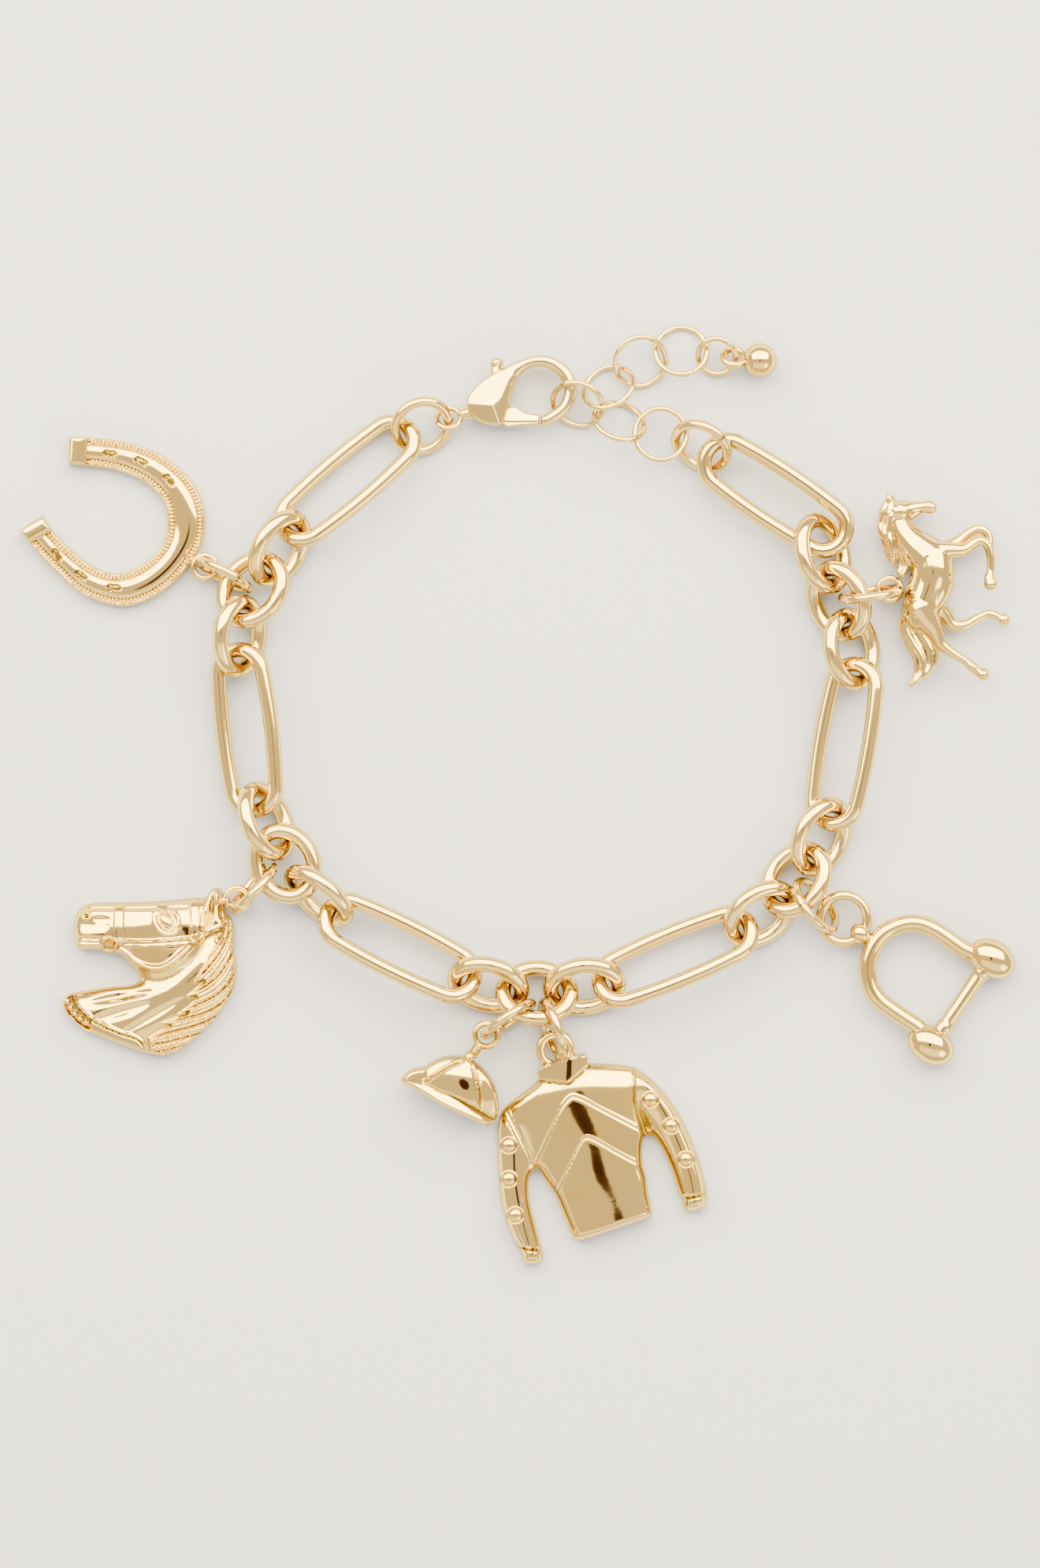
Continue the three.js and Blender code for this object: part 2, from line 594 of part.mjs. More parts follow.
const BOW = [
  [9.0, 1.0], [6.95, 1.7], [4.35, 3.5], [3.0, 4.1], [1.75, 4.3], [0.35, 4.0], [-1.05, 3.25], [-2.0, 2.1],
  [-2.6, 0.6], [-2.65, -0.8], [-2.3, -2.3], [-1.45, -3.55], [1.2, -5.5], [3.3, -7.3],
];
const BOW_RADIUS = 0.85;
const BOW_HEIGHT = 1.85;
const BOW_ENDS = [[10.0, 0.65], [3.75, -8.1]];
const BOW_END_LENGTH = 4.8;
const BOW_END_WIDTH = 3.6;
const BOW_END_HEADING = -33;
const BIT_EYE_HEIGHT = 1.7;

function shackle() {
  const bow = limb(BOW.map(([x, y]) => [x, y, BOW_RADIUS]), BOW_HEIGHT, 1, 8);
  const long = BOW_END_LENGTH / 2;
  const wide = BOW_END_WIDTH / 2;
  const ends = BOW_ENDS.map(([x, y]) => toSolid(
    new THREE.SphereGeometry(1, 12, 8).scale(long, wide, wide).rotateZ(degrees(BOW_END_HEADING))
      .translate(x, y, BOW_HEIGHT),
  ));
  const pin = bar([9.3, -0.2, BOW_HEIGHT], [4.5, -7.2, BOW_HEIGHT], 0.77, 0.77, 8);
  const join = ball(-3.1, 3.0, BIT_EYE_HEIGHT, 1.15);
  const eye = { ...charmEye(-5.1, 4.7, 140, BIT_EYE_HEIGHT), outer: 5.8, wire: 1.0 };
  return { solid: joined([bow, ...ends, pin, join]), eye, neck: [] };
}

// The running horse, limb by limb: [x, y, radius] along each.
const HORSE_HEIGHT = 1.9;
const HORSE_LIMBS = [
  { at: 0, stations: [[-1.0, 2.6, 1.9], [-1.7, 0.6, 1.75], [-2.4, -1.6, 1.8]] },
  { at: 0, stations: [[-4.7, 7.0, 1.15], [-3.2, 5.0, 1.35], [-1.2, 3.1, 1.8]] },
  { at: 0, stations: [[-4.9, 7.7, 1.05], [-3.4, 8.0, 0.85], [-1.6, 8.2, 0.6]] },
  { at: 0, stations: [[-5.3, 8.0, 0.5], [-5.9, 9.1, 0.3]] },
  { at: 0, stations: [[-6.0, 8.0, 0.7], [-6.1, 6.2, 0.9], [-5.8, 4.4, 1.0], [-4.6, 3.0, 0.9]] },
  { at: 0.7, stations: [[-0.6, 3.4, 1.2], [2.0, 5.1, 0.6], [3.7, 5.5, 0.4], [4.7, 4.9, 0.4]] },
  { at: -0.5, stations: [[-0.3, 2.4, 1.3], [1.8, 3.1, 0.7], [3.3, 3.8, 0.5], [4.4, 2.0, 0.45], [4.8, 0.2, 0.55]] },
  { at: 0.6, stations: [[-2.4, -2.0, 1.6], [-1.3, -3.8, 1.0], [-1.0, -5.3, 0.6], [1.0, -6.8, 0.5], [3.3, -8.6, 0.6]] },
  { at: -0.7, stations: [[-1.8, -1.4, 1.4], [0.3, -3.0, 0.8], [1.3, -3.9, 0.55], [4.1, -2.8, 0.45], [5.7, -3.3, 0.55]] },
  { at: 0, stations: [[-3.4, -2.4, 0.7], [-3.6, -4.9, 0.7], [-2.6, -7.1, 0.9], [-2.1, -8.5, 0.8], [-3.0, -9.6, 0.4]] },
];

function runningHorse() {
  const limbs = HORSE_LIMBS.map(({ at, stations }) => limb(stations, HORSE_HEIGHT + at, 0.9, 7));
  return { solid: joined(limbs), eye: charmEye(-5.6, -0.2, 180), neck: [[-3.4, -0.1, 1.6], [-4.5, -0.15, 1.6]] };
}

const CHARMS = {
  horseshoe: horseshoe(),
  horse_head: horseHead(),
  jockey_cap: jockeyCap(),
  racing_jersey: racingJersey(),
  shackle: shackle(),
  running_horse: runningHorse(),
};

// The lobster clasp: a flat hooked body with a rounded edge, thinner towards its nose, and a lever that
// turns on a pin in a slot through the body.
const CLASP_OUTLINE = [
  [-5.2, -2.4], [-4.9, -1.6], [-3.6, -0.4], [-2.1, 0.7], [-0.5, 1.5], [1.0, 2.2], [2.5, 2.4],
  [3.9, 2.2], [5.1, 1.2], [5.9, -0.2], [6.0, -1.1], [5.9, -2.0], [5.2, -3.4], [4.3, -4.2],
  [3.3, -4.7], [2.6, -4.8], [2.8, -3.95], [3.3, -3.8], [4.1, -3.0], [4.6, -1.8], [4.7, -1.1],
  [4.5, -0.3], [3.9, 0.6], [2.9, 1.2], [1.9, 1.3], [1.0, 1.1], [0.2, 0.4], [-0.3, -0.8],
  [-0.6, -2.6], [-1.1, -4.8], [-2.7, -4.7], [-3.9, -4.3], [-4.9, -3.8], [-5.2, -2.9],
];
const CLASP_MIDDLE = 1.85;
const CLASP_HALF_THICK = 1.85;
const NOSE_HALF_THICK = 0.8;
const PIN = [-2.0, -2.4];
const PIN_RADIUS = 0.45;
const PIN_BORE = 0.72;
const LEVER_HALF_THICK = 0.55;
const SLOT_HALF_HEIGHT = 0.85;
const LEVER_OUTLINE = [
  [-2.9, -2.3], [-3.0, -0.5], [-2.9, 1.2], [-1.7, 1.5], [-1.9, 0.2], [-1.4, -1.4],
  [-0.6, -2.6], [0.0, -3.2], [0.8, -3.5], [2.3, -3.6], [2.1, -4.4], [0.6, -4.6], [-1.1, -4.5],
  [-2.3, -3.5],
];
const SLOT_OUTLINE = [
  [-3.4, -3.0], [-4.2, 0.2], [-4.2, 3.2], [-0.9, 3.2], [-1.2, 0.6], [-0.9, -0.9], [0.6, -1.4],
  [3.0, -3.0], [2.7, -4.0], [1.5, -5.4], [-1.8, -5.4], [-3.0, -4.1],
];

function thinnedToNose(geometry) {
  const position = geometry.attributes.position;
  for (let i = 0; i < position.count; i++) {
    const toNose = THREE.MathUtils.smoothstep(position.getX(i), -1.0, 3.6);
    const half = THREE.MathUtils.lerp(CLASP_HALF_THICK, NOSE_HALF_THICK, toNose);
    position.setZ(i, CLASP_MIDDLE + (position.getZ(i) * half) / CLASP_HALF_THICK);
  }
  return geometry;
}

const CLASP_EYE_PLACE = {
  x: -7.15, y: -3.9, z: 1.75, outer: CLASP_EYE, wire: CLASP_EYE_WIRE, heading: 8, tilt: -28,
};

function claspBody() {
  const inset = 0.3;
  const shape = new THREE.Shape(CLASP_OUTLINE.map(([x, y]) => new THREE.Vector2(x, y)));
  const depth = 2 * (CLASP_HALF_THICK - 0.7);
  const plate = new THREE.ExtrudeGeometry(shape, {
    depth, bevelEnabled: true, bevelThickness: 0.7, bevelSize: inset, bevelOffset: -inset, bevelSegments: 2,
  }).translate(0, 0, -depth / 2);
  const slot = prism(SLOT_OUTLINE, 2 * SLOT_HALF_HEIGHT).translate([0, 0, CLASP_MIDDLE - SLOT_HALF_HEIGHT]);
  const pin = bar([...PIN, CLASP_MIDDLE - 1.3], [...PIN, CLASP_MIDDLE + 1.3], PIN_RADIUS, PIN_RADIUS, 12);
  const neck = bar([-4.6, -2.9, CLASP_MIDDLE], [-5.95, -3.5, CLASP_MIDDLE - 0.05], 0.9, 0.42, 8);
  return joined([toSolid(thinnedToNose(plate)).subtract(slot), pin, neck, eyeSolid(CLASP_EYE_PLACE)]);
}

function claspLever() {
  const blade = prism(LEVER_OUTLINE, 2 * LEVER_HALF_THICK)
    .translate([0, 0, CLASP_MIDDLE - LEVER_HALF_THICK]);
  const tab = ball(-2.4, 1.6, CLASP_MIDDLE, 0.95, 0.7, 0.8, 10, 6);
  const bore = bar([...PIN, CLASP_MIDDLE - 1.0], [...PIN, CLASP_MIDDLE + 1.0], PIN_BORE, PIN_BORE, 14);
  return joined([blade, tab]).subtract(bore);
}

// The closed line round the clasp's opening, which the extender's third ring is hooked on.
const CLASP_LOOP = [
  [1.0, 1.65], [2.7, 1.85], [4.5, 0.9], [5.25, -0.3], [5.35, -1.2], [5.2, -2.2], [4.7, -3.3],
  [3.8, -4.1], [2.9, -4.4], [1.6, -4.1], [-0.4, -3.9], [-1.2, -2.2], [-0.6, -0.2],
];

// The ball that ends the extender, with its small loop.
const LAST_LINK = CHAIN[CHAIN.length - 1];
const BALL_LOOP_PLACE = {
  x: LAST_LINK.x + 1.65, y: LAST_LINK.y - 0.3, z: 1.75,
  outer: BALL_LOOP, wire: BALL_LOOP_WIRE, heading: 174, tilt: 40,
};
const BALL_SINK = 0.53; // how far the loop is sunk into the ball

function endBall() {
  const reach = (BALL_DIAMETER + BALL_LOOP) / 2 - BALL_SINK;
  const away = degrees(BALL_LOOP_PLACE.heading + 180);
  const x = BALL_LOOP_PLACE.x + reach * Math.cos(away);
  const y = BALL_LOOP_PLACE.y + reach * Math.sin(away);
  const sphere = ball(x, y, BALL_DIAMETER / 2, BALL_DIAMETER / 2, undefined, undefined, 12, 8);
  return joined([sphere, eyeSolid(BALL_LOOP_PLACE)]);
}

// Everything goes to its place, and the loops settle.

const inPlace = (eye, [x, y]) => ({ ...eye, x: eye.x + x, y: eye.y + y });

function buildLoops() {
  const loops = new Map();
  for (const { name, kind, ...plan } of CHAIN) loops.set(name, new Loop({ ...LINE_KINDS[kind], ...plan }));
  for (const { name, link, ...plan } of CHARM_RINGS) {
    loops.set(name, new Loop({ ...LINE_KINDS.charmRing, ...plan }));
  }
  return loops;
}

function buildAnchors() {
  const anchors = new Map();
  for (const [name, { eye }] of Object.entries(CHARMS)) {
    anchors.set(name + "_eye", new Loop(eyeRing(inPlace(eye, CHARM_PLACES[name]))));
  }
  anchors.set("clasp_eye", new Loop(eyeRing(inPlace(CLASP_EYE_PLACE, CHARM_PLACES.clasp))));
  anchors.set("ball_loop", new Loop(eyeRing(BALL_LOOP_PLACE)));
  anchors.set("clasp_loop", new Loop({
    line: CLASP_LOOP.map(([x, y]) => new THREE.Vector3(x, y, 0)),
    wire: 1.75, x: CHARM_PLACES.clasp[0], y: CHARM_PLACES.clasp[1], z: CLASP_MIDDLE, heading: 0, lean: 0, fixed: true,
  }));
  return anchors;
}

function buildJoins(all) {
  const names = CHAIN.map((link) => link.name);
  const joins = [];
  for (let i = 1; i < names.length; i++) joins.push([names[i - 1], names[i]]);
  for (const { name, link } of CHARM_RINGS) joins.push([name, link]);
  joins.push(["horseshoe_ring", "horseshoe_eye"], ["horse_head_ring", "horse_head_eye"]);
  joins.push(["cap_ring", "jockey_cap_eye"], ["jersey_ring", "racing_jersey_eye"]);
  joins.push(["shackle_ring", "shackle_eye"], ["running_horse_ring", "running_horse_eye"]);
  joins.push(["end_ring_clasp", "clasp_eye"], ["extender_ring_3", "clasp_loop"]);
  joins.push(["extender_ring_7", "ball_loop"]);
  return joins.map(([a, b]) => [all.get(a), all.get(b)]);
}

function buildNeighbours(all, joins) {
  const bodies = [...all.values()];
  const pairs = [];
  bodies.forEach((a, i) => bodies.slice(i + 1).forEach((b) => {
    const reach = (a.spread + b.spread) / 0.7 + 1.5;
    if (a.fixed && b.fixed) return;
    if (Math.hypot(a.place.x - b.place.x, a.place.y - b.place.y) > reach) return;
    if (joins.some(([p, q]) => (p === a && q === b) || (p === b && q === a))) return;
    pairs.push([a, b]);
  }));
  return pairs;
}

const loops = buildLoops();
const all = new Map([...loops, ...buildAnchors()]);
const joins = buildJoins(all);
settle([...loops.values()], joins, buildNeighbours(all, joins));

const group = new THREE.Group();

function addNode(name, geometry) {
  const mesh = new THREE.Mesh(geometry);
  mesh.name = name;
  group.add(mesh);
}

const sidesOf = new Map(CHAIN.map(({ name, kind }) => [name, LINE_KINDS[kind].sides]));
for (const [name, loop] of loops) {
  const sides = sidesOf.get(name) ?? LINE_KINDS.charmRing.sides;
  addNode(name, wireGeometry(loop.line, loop.wire, sides)
    .applyQuaternion(loop.turn).translate(loop.place.x, loop.place.y, loop.place.z));
}
for (const [name, { solid, eye, neck }] of Object.entries(CHARMS)) {
  const [x, y] = CHARM_PLACES[name];
  const necks = neck.length ? [bar(
    [neck[0][0], neck[0][1], neck[0][2]], [neck[1][0], neck[1][1], neck[1][2]], 0.75, 0.5, 8,
  )] : [];
  addNode(name, toGeometry(joined([solid, eyeSolid(eye), ...necks]).translate([x, y, 0])));
}
const [claspX, claspY] = CHARM_PLACES.clasp;
addNode("clasp_body", toGeometry(claspBody().translate([claspX, claspY, 0])));
addNode("clasp_lever", toGeometry(claspLever().translate([claspX, claspY, 0])));
addNode("end_ball", toGeometry(endBall()));

const box = new THREE.Box3().setFromObject(group);
const middle = box.getCenter(new THREE.Vector3());
for (const mesh of group.children) mesh.geometry.translate(-middle.x, -middle.y, -box.min.z);

export default group;
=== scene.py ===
"""Dresses the gold charm bracelet: wire links and rings, a lobster clasp and six cast charms.

Sizes are millimetres as seen from above, with x to the right and y up. A charm is drawn about its own
middle, lying on its back, and is then carried to where the solid model has it.
"""

import math

import bmesh
import bpy
import numpy as np
from mathutils import Matrix, Vector


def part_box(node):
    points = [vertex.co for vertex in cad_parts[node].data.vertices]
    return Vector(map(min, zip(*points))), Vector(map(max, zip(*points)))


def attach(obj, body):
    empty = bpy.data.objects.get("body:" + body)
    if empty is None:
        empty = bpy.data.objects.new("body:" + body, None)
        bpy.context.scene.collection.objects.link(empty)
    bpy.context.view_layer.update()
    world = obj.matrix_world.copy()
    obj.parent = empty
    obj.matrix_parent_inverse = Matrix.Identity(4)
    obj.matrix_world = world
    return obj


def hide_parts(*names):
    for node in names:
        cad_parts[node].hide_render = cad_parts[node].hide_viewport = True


bl_info = {
    "name": "Charm bracelet",
    "version": (1, 0, 0),
    "blender": (4, 5, 0),
    "location": "3D View > Sidebar > Bracelet",
    "description": "Gold charm bracelet with wire links, a lobster clasp and cast charms",
    "category": "Add Mesh",
}

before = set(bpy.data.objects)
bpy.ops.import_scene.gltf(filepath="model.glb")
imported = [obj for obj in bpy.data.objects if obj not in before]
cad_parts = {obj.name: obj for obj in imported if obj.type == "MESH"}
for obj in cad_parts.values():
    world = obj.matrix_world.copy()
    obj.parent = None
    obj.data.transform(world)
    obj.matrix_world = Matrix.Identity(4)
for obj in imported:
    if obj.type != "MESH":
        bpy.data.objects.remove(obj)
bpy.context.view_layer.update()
MM = 0.001
BODY = "bracelet"
LEVER_BODY = "lever"
# Faces that meet at more than this many degrees keep a crisp edge.
SHARP_ANGLE = 55
# The width in mm of the soft patches in which a plate is rubbed brighter or duller.
PATCH = 6.0

# Where the middle of each cast piece lies, before the solid model is centred on its own box.
PLACES = {
    "horseshoe": (-40.4, 27.8),
    "horse_head": (-37.6, -17.7),
    "jockey_cap": (-6.0, -30.1),
    "racing_jersey": (8.8, -35.4),
    "shackle": (38.4, -17.3),
    "running_horse": (43.6, 21.1),
    "clasp": (0.3, 42.2),
    "end_ball": (24.8, 44.2),
}

# The lowest corner of the jersey in the same plan: its place in the frame gives the shift of them all.
JERSEY_LOW = (-1.9, -47.8)


def plan_shift():
    """How far, in mm, the frame's solids lie from the plan above."""
    low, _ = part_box("racing_jersey")
    return np.array([low[0] / MM - JERSEY_LOW[0], low[1] / MM - JERSEY_LOW[1]])


def placed(name):
    """The middle of a cast piece in the frame, in mm."""
    return np.array(PLACES[name]) + plan_shift()


def at(place, x, y, z):
    """A point of a piece in the frame, in mm, from its place in plan and its own coordinates."""
    return (place[0] + x, place[1] + y, z)


# Materials

def linear(hex_colour):
    """A #rrggbb sRGB colour as linear RGBA."""
    channels = [int(hex_colour[i:i + 2], 16) / 255 for i in (1, 3, 5)]
    return tuple(c / 12.92 if c <= 0.04045 else ((c + 0.055) / 1.055) ** 2.4 for c in channels) + (1.0,)


def node(tree, kind, inputs=None, **settings):
    """Adds a node with its settings, and sets or links its inputs."""
    made = tree.nodes.new(kind)
    for key, value in settings.items():
        setattr(made, key, value)
    for key, value in (inputs or {}).items():
        socket = made.inputs[key]
        if isinstance(value, bpy.types.NodeSocket):
            tree.links.new(value, socket)
        else:
            socket.default_value = value
    return made


def plate_material(name, colour, painted_shade, roughness, grain_mm, bump_mm):
    """Bright gold plate. The colour deepens to a painted shade where the shade attribute is high, in hollows
    and on steep sides.
    """
    material = bpy.data.materials.new(name)
    material.use_nodes = True
    tree = material.node_tree
    shader = tree.nodes["Principled BSDF"]
    place = node(tree, "ShaderNodeTexCoord")
    cloud = node(tree, "ShaderNodeTexNoise", {
        "Vector": place.outputs["Object"], "Scale": 1 / (PATCH * MM), "Detail": 3.0})
    grain = node(tree, "ShaderNodeTexNoise", {
        "Vector": place.outputs["Object"], "Scale": 1 / (grain_mm * MM), "Detail": 2.0})
    # Painted shade: this attribute says how much of the darker gold is drawn, up to 85 percent of it.
    hollow = node(tree, "ShaderNodeAttribute", attribute_name="hollow")
    depth = node(tree, "ShaderNodeMapRange", {
        "Value": hollow.outputs["Fac"], "To Max": 0.85})
    colours = node(tree, "ShaderNodeMix", {
        0: depth.outputs["Result"], 6: colour, 7: painted_shade}, data_type="RGBA")
    tint = node(tree, "ShaderNodeMapRange", {
        "Value": cloud.outputs["Fac"], "From Min": 0.35, "From Max": 0.65,
        "To Min": 0.97, "To Max": 1.03})
    shaded = node(tree, "ShaderNodeHueSaturation", {
        "Color": colours.outputs[2], "Saturation": tint.outputs["Result"]})
    rough = node(tree, "ShaderNodeMapRange", {
        "Value": cloud.outputs["Fac"], "From Min": 0.3, "From Max": 0.7,
        "To Min": roughness * 0.8, "To Max": roughness * 1.3})
    bump = node(tree, "ShaderNodeBump", {
        "Height": grain.outputs["Fac"], "Distance": bump_mm * MM, "Strength": 1.0})
    tree.links.new(shaded.outputs["Color"], shader.inputs["Base Color"])
    tree.links.new(rough.outputs["Result"], shader.inputs["Roughness"])
    tree.links.new(bump.outputs["Normal"], shader.inputs["Normal"])
    shader.inputs["Metallic"].default_value = 1.0
    return material


# Shapes from outlines, in mm

def bend(a, b, lean_a, lean_b, t):
    """A point at share t of the curve from a to b that leaves and arrives along two leans."""
    return ((2 * t**3 - 3 * t**2 + 1) * a + (t**3 - 2 * t**2 + t) * lean_a
            + (3 * t**2 - 2 * t**3) * b + (t**3 - t**2) * lean_b)


def smooth_path(points, closed=True, per_span=8):
    """A curve through points. One written (x, y, 1) is a corner; two in a row make a straight edge."""
    plain = [np.array(p[:2], float) for p in points]
    corner = [len(p) > 2 for p in points]
    count = len(points)
    made = []
    spans = count if closed else count - 1
    for i in range(spans):
        j = (i + 1) % count
        a, b = plain[i], plain[j]
        if corner[i] and corner[j]:
            made.append(a)
            continue
        before = plain[i - 1] if (closed or i > 0) else a
        after = plain[(j + 1) % count] if (closed or j + 1 < count) else b
        reach = np.linalg.norm(b - a)
        lean_a = (b - a) if corner[i] else (b - before) * reach / max(np.linalg.norm(b - before), 1e-9)
        lean_b = (b - a) if corner[j] else (after - a) * reach / max(np.linalg.norm(after - a), 1e-9)
        made += [bend(a, b, lean_a, lean_b, k / per_span) for k in range(per_span)]
    if not closed:
        made.append(plain[-1])
    return np.array(made)


def path_distance(points, path, closed=False, chunk=4000):
    """Distance from each point to a path, and how far along the path its nearest spot lies."""
    starts = path if closed else path[:-1]
    ends = np.roll(path, -1, axis=0) if closed else path[1:]
    run = ends - starts
    square = np.maximum((run**2).sum(1), 1e-12)
    lengths = np.sqrt(square)
    before = np.concatenate([[0], np.cumsum(lengths)[:-1]])
    far = np.empty(len(points))
    along = np.empty(len(points))
    for first in range(0, len(points), chunk):
        p = points[first:first + chunk, None, :]
        t = np.clip(((p - starts) * run).sum(2) / square, 0, 1)
        gap = np.hypot(*np.moveaxis(p - starts - t[..., None] * run, 2, 0))
        best = gap.argmin(1)
        rows = np.arange(len(best))
        far[first:first + chunk] = gap[rows, best]
        along[first:first + chunk] = before[best] + t[rows, best] * lengths[best]
    return far, along


def inside(points, outline):
    """Whether each point lies inside a closed outline."""
    x, y = points[:, 0], points[:, 1]
    held = np.zeros(len(points), bool)
    for (ax, ay), (bx, by) in zip(outline, np.roll(outline, -1, axis=0)):
        if ay == by:
            continue
        crosses = (ay > y) != (by > y)
        held ^= crosses & (x < (bx - ax) * (y - ay) / (by - ay) + ax)
    return held


def ramp(value, low, high):
    """Rises smoothly from 0 at low to 1 at high."""
    t = np.clip((value - low) / (high - low), 0, 1)
    return t * t * (3 - 2 * t)


def dome(depth, edge, full, reach):
    """The height of a rounded edge: depth is the distance in from the outline."""
    inward = 1 - np.clip(depth / reach, 0, 1)
    return edge + (full - edge) * np.sqrt(1 - inward**2)


def clipped_grid(outlines, step):
    """A triangle grid cut to closed outlines: points, signed depths and triangles."""
    every = np.concatenate(outlines)
    low = every.min(0) - step
    high = every.max(0) + step
    columns = int(math.ceil((high[0] - low[0]) / step)) + 1
    rows = int(math.ceil((high[1] - low[1]) / step)) + 1
    xs, ys = np.meshgrid(low[0] + step * np.arange(columns), low[1] + step * np.arange(rows))
    points = np.column_stack([xs.ravel(), ys.ravel()])
    held = np.zeros(len(points), bool)
    depth = np.full(len(points), 1e9)
    for outline in outlines:
        held ^= inside(points, outline)
        depth = np.minimum(depth, path_distance(points, outline, closed=True)[0])
    depth = np.where(held, depth, -depth)
    # Points close to the outline are moved onto it, so that the cut leaves no slivers.
    field = depth.reshape(rows, columns)
    slope_y, slope_x = np.gradient(field, step)
    slope = np.column_stack([slope_x.ravel(), slope_y.ravel()])
    near = np.abs(depth) < 0.35 * step
    points[near] -= depth[near, None] * slope[near] / np.maximum((slope[near]**2).sum(1), 0.2)[:, None]
    depth[near] = 0
    a = (np.arange(rows - 1)[:, None] * columns + np.arange(columns - 1)).ravel()
    b, c, d = a + 1, a + columns + 1, a + columns
    flip = ((a // columns + a % columns) % 2 == 0)[:, None]
    first = np.where(flip, np.column_stack([a, b, c]), np.column_stack([a, b, d]))
    second = np.where(flip, np.column_stack([a, c, d]), np.column_stack([b, c, d]))
    triangles = np.concatenate([first, second])
    return cut_triangles(points, depth, triangles)


def cut_triangles(points, depth, triangles):
    """Keeps the part of a triangle grid where depth is not below 0."""
    out = depth[triangles] < 0
    count_out = out.sum(1)
    on_or_in = triangles[(count_out == 0) & (depth[triangles].max(1) > 0)]
    made = [on_or_in]
    new_points = [points]
    new_depth = [depth]
    keys = {}
    total = len(points)
    extra = []

    def crossing(inner, outer):
        nonlocal total
        key = (inner, outer)
        if key not in keys:
            t = depth[inner] / (depth[inner] - depth[outer])
            extra.append(points[inner] + t * (points[outer] - points[inner]))
            keys[key] = total
            total += 1
        return keys[key]

    cut = []
    for triangle, outs in zip(triangles[(count_out == 1) | (count_out == 2)],
                              out[(count_out == 1) | (count_out == 2)]):
        if depth[triangle].max() <= 0:
            continue
        if outs.sum() == 1:
            turn = int(np.argmax(outs))
            o, p, q = (int(v) for v in np.roll(triangle, -turn))
            if depth[p] == 0 and depth[q] == 0:
                continue
            near_p = p if depth[p] == 0 else crossing(p, o)
            near_q = q if depth[q] == 0 else crossing(q, o)
            if near_p != p:
                cut.append((near_p, p, q))
            if near_q != q:
                cut.append((near_p, q, near_q))
        else:
            turn = int(np.argmax(~outs))
            i, p, q = (int(v) for v in np.roll(triangle, -turn))
            if depth[i] <= 0:
                continue
            cut.append((i, crossing(i, p), crossing(i, q)))
    if extra:
        new_points.append(np.array(extra))
        new_depth.append(np.zeros(len(extra)))
    if cut:
        made.append(np.array(cut))
    points = np.concatenate(new_points)
    depth = np.concatenate(new_depth)
    triangles = np.concatenate(made)
    used, inverse = np.unique(triangles, return_inverse=True)
    return points[used], depth[used], inverse.reshape(triangles.shape)


def boundary_edges(triangles):
    """The directed edges that only one triangle has."""
    edges = np.concatenate([triangles[:, [0, 1]], triangles[:, [1, 2]], triangles[:, [2, 0]]])
    keys = edges[:, 0].astype(np.int64) * (triangles.max() + 1) + edges[:, 1]
    back = edges[:, 1].astype(np.int64) * (triangles.max() + 1) + edges[:, 0]
    return edges[~np.isin(keys, back)]


def relief_mesh(name, outlines, place, step, top, bottom=None, lift=0.0):
    """A cast relief: its top follows a height over its outline, its back is flat or follows another."""
    points, depth, triangles = clipped_grid([np.asarray(o) for o in outlines], step)
    high = top(points, depth)
    low = np.zeros(len(points)) if bottom is None else bottom(points, depth)
    rim = boundary_edges(triangles)
    count = len(points)
    wall = np.concatenate([
        np.column_stack([rim[:, 1], rim[:, 0], rim[:, 0] + count]),
        np.column_stack([rim[:, 1], rim[:, 0] + count, rim[:, 1] + count])])
    faces = np.concatenate([triangles, triangles[:, ::-1] + count, wall])
    xy = points + np.asarray(place)
    vertices = np.concatenate([np.column_stack([xy, high]), np.column_stack([xy, low])])
    vertices[:, 2] += lift
    made = mesh_object(name, vertices, faces)
    # Painted shade: the top is drawn darker in its hollows.
    painted_hollow_shade_from_height(made, points, triangles, high)
    return made


def painted_hollow_shade_from_height(made, points, triangles, high):
    """Stores how far each point of the top lies below what is round it, as painted shade: the plate is drawn
    darker there.
    """
    level = high.copy()
    for _ in range(10):
        total = np.zeros(len(points))
        share = np.zeros(len(points))
        for i, j in ((0, 1), (1, 2), (2, 0)):
            np.add.at(total, triangles[:, i], level[triangles[:, j]])
            np.add.at(total, triangles[:, j], level[triangles[:, i]])
            np.add.at(share, triangles[:, i], 1)
            np.add.at(share, triangles[:, j], 1)
        level = total / np.maximum(share, 1)
    hollow = np.clip((level - high - 0.02) / 0.15, 0, 1)
    values = np.zeros(len(made.data.vertices), np.float32)
    values[:len(hollow)] = hollow
    layer = made.data.attributes.new("hollow", "FLOAT", "POINT")
    layer.data.foreach_set("value", values)


def paint_shade_inside(made, place, masks):
    """Adds painted shade to a relief's shade attribute where masks of its plan say so."""
    mesh = made.data
    count = len(mesh.vertices)
    spots = np.empty(count * 3)
    mesh.vertices.foreach_get("co", spots)
    plan = spots.reshape(-1, 3)[:, :2] / MM - place
    layer = mesh.attributes["hollow"]
    values = np.empty(count)
    layer.data.foreach_get("value", values)
    for mask, amount in masks:
        values = np.maximum(values, values * (1 - amount) + amount * mask(plan))
    layer.data.foreach_set("value", values.astype(np.float32))


def mesh_object(name, vertices, faces):
    """A mesh object from vertices in mm, with smooth shading broken at sharp edges."""
    mesh = bpy.data.meshes.new(name)
    mesh.from_pydata((np.asarray(vertices) * MM).tolist(), [], [list(map(int, f)) for f in faces])
    made = bpy.data.objects.new(name, mesh)
    bpy.context.collection.objects.link(made)
    tidy(made)
    return made


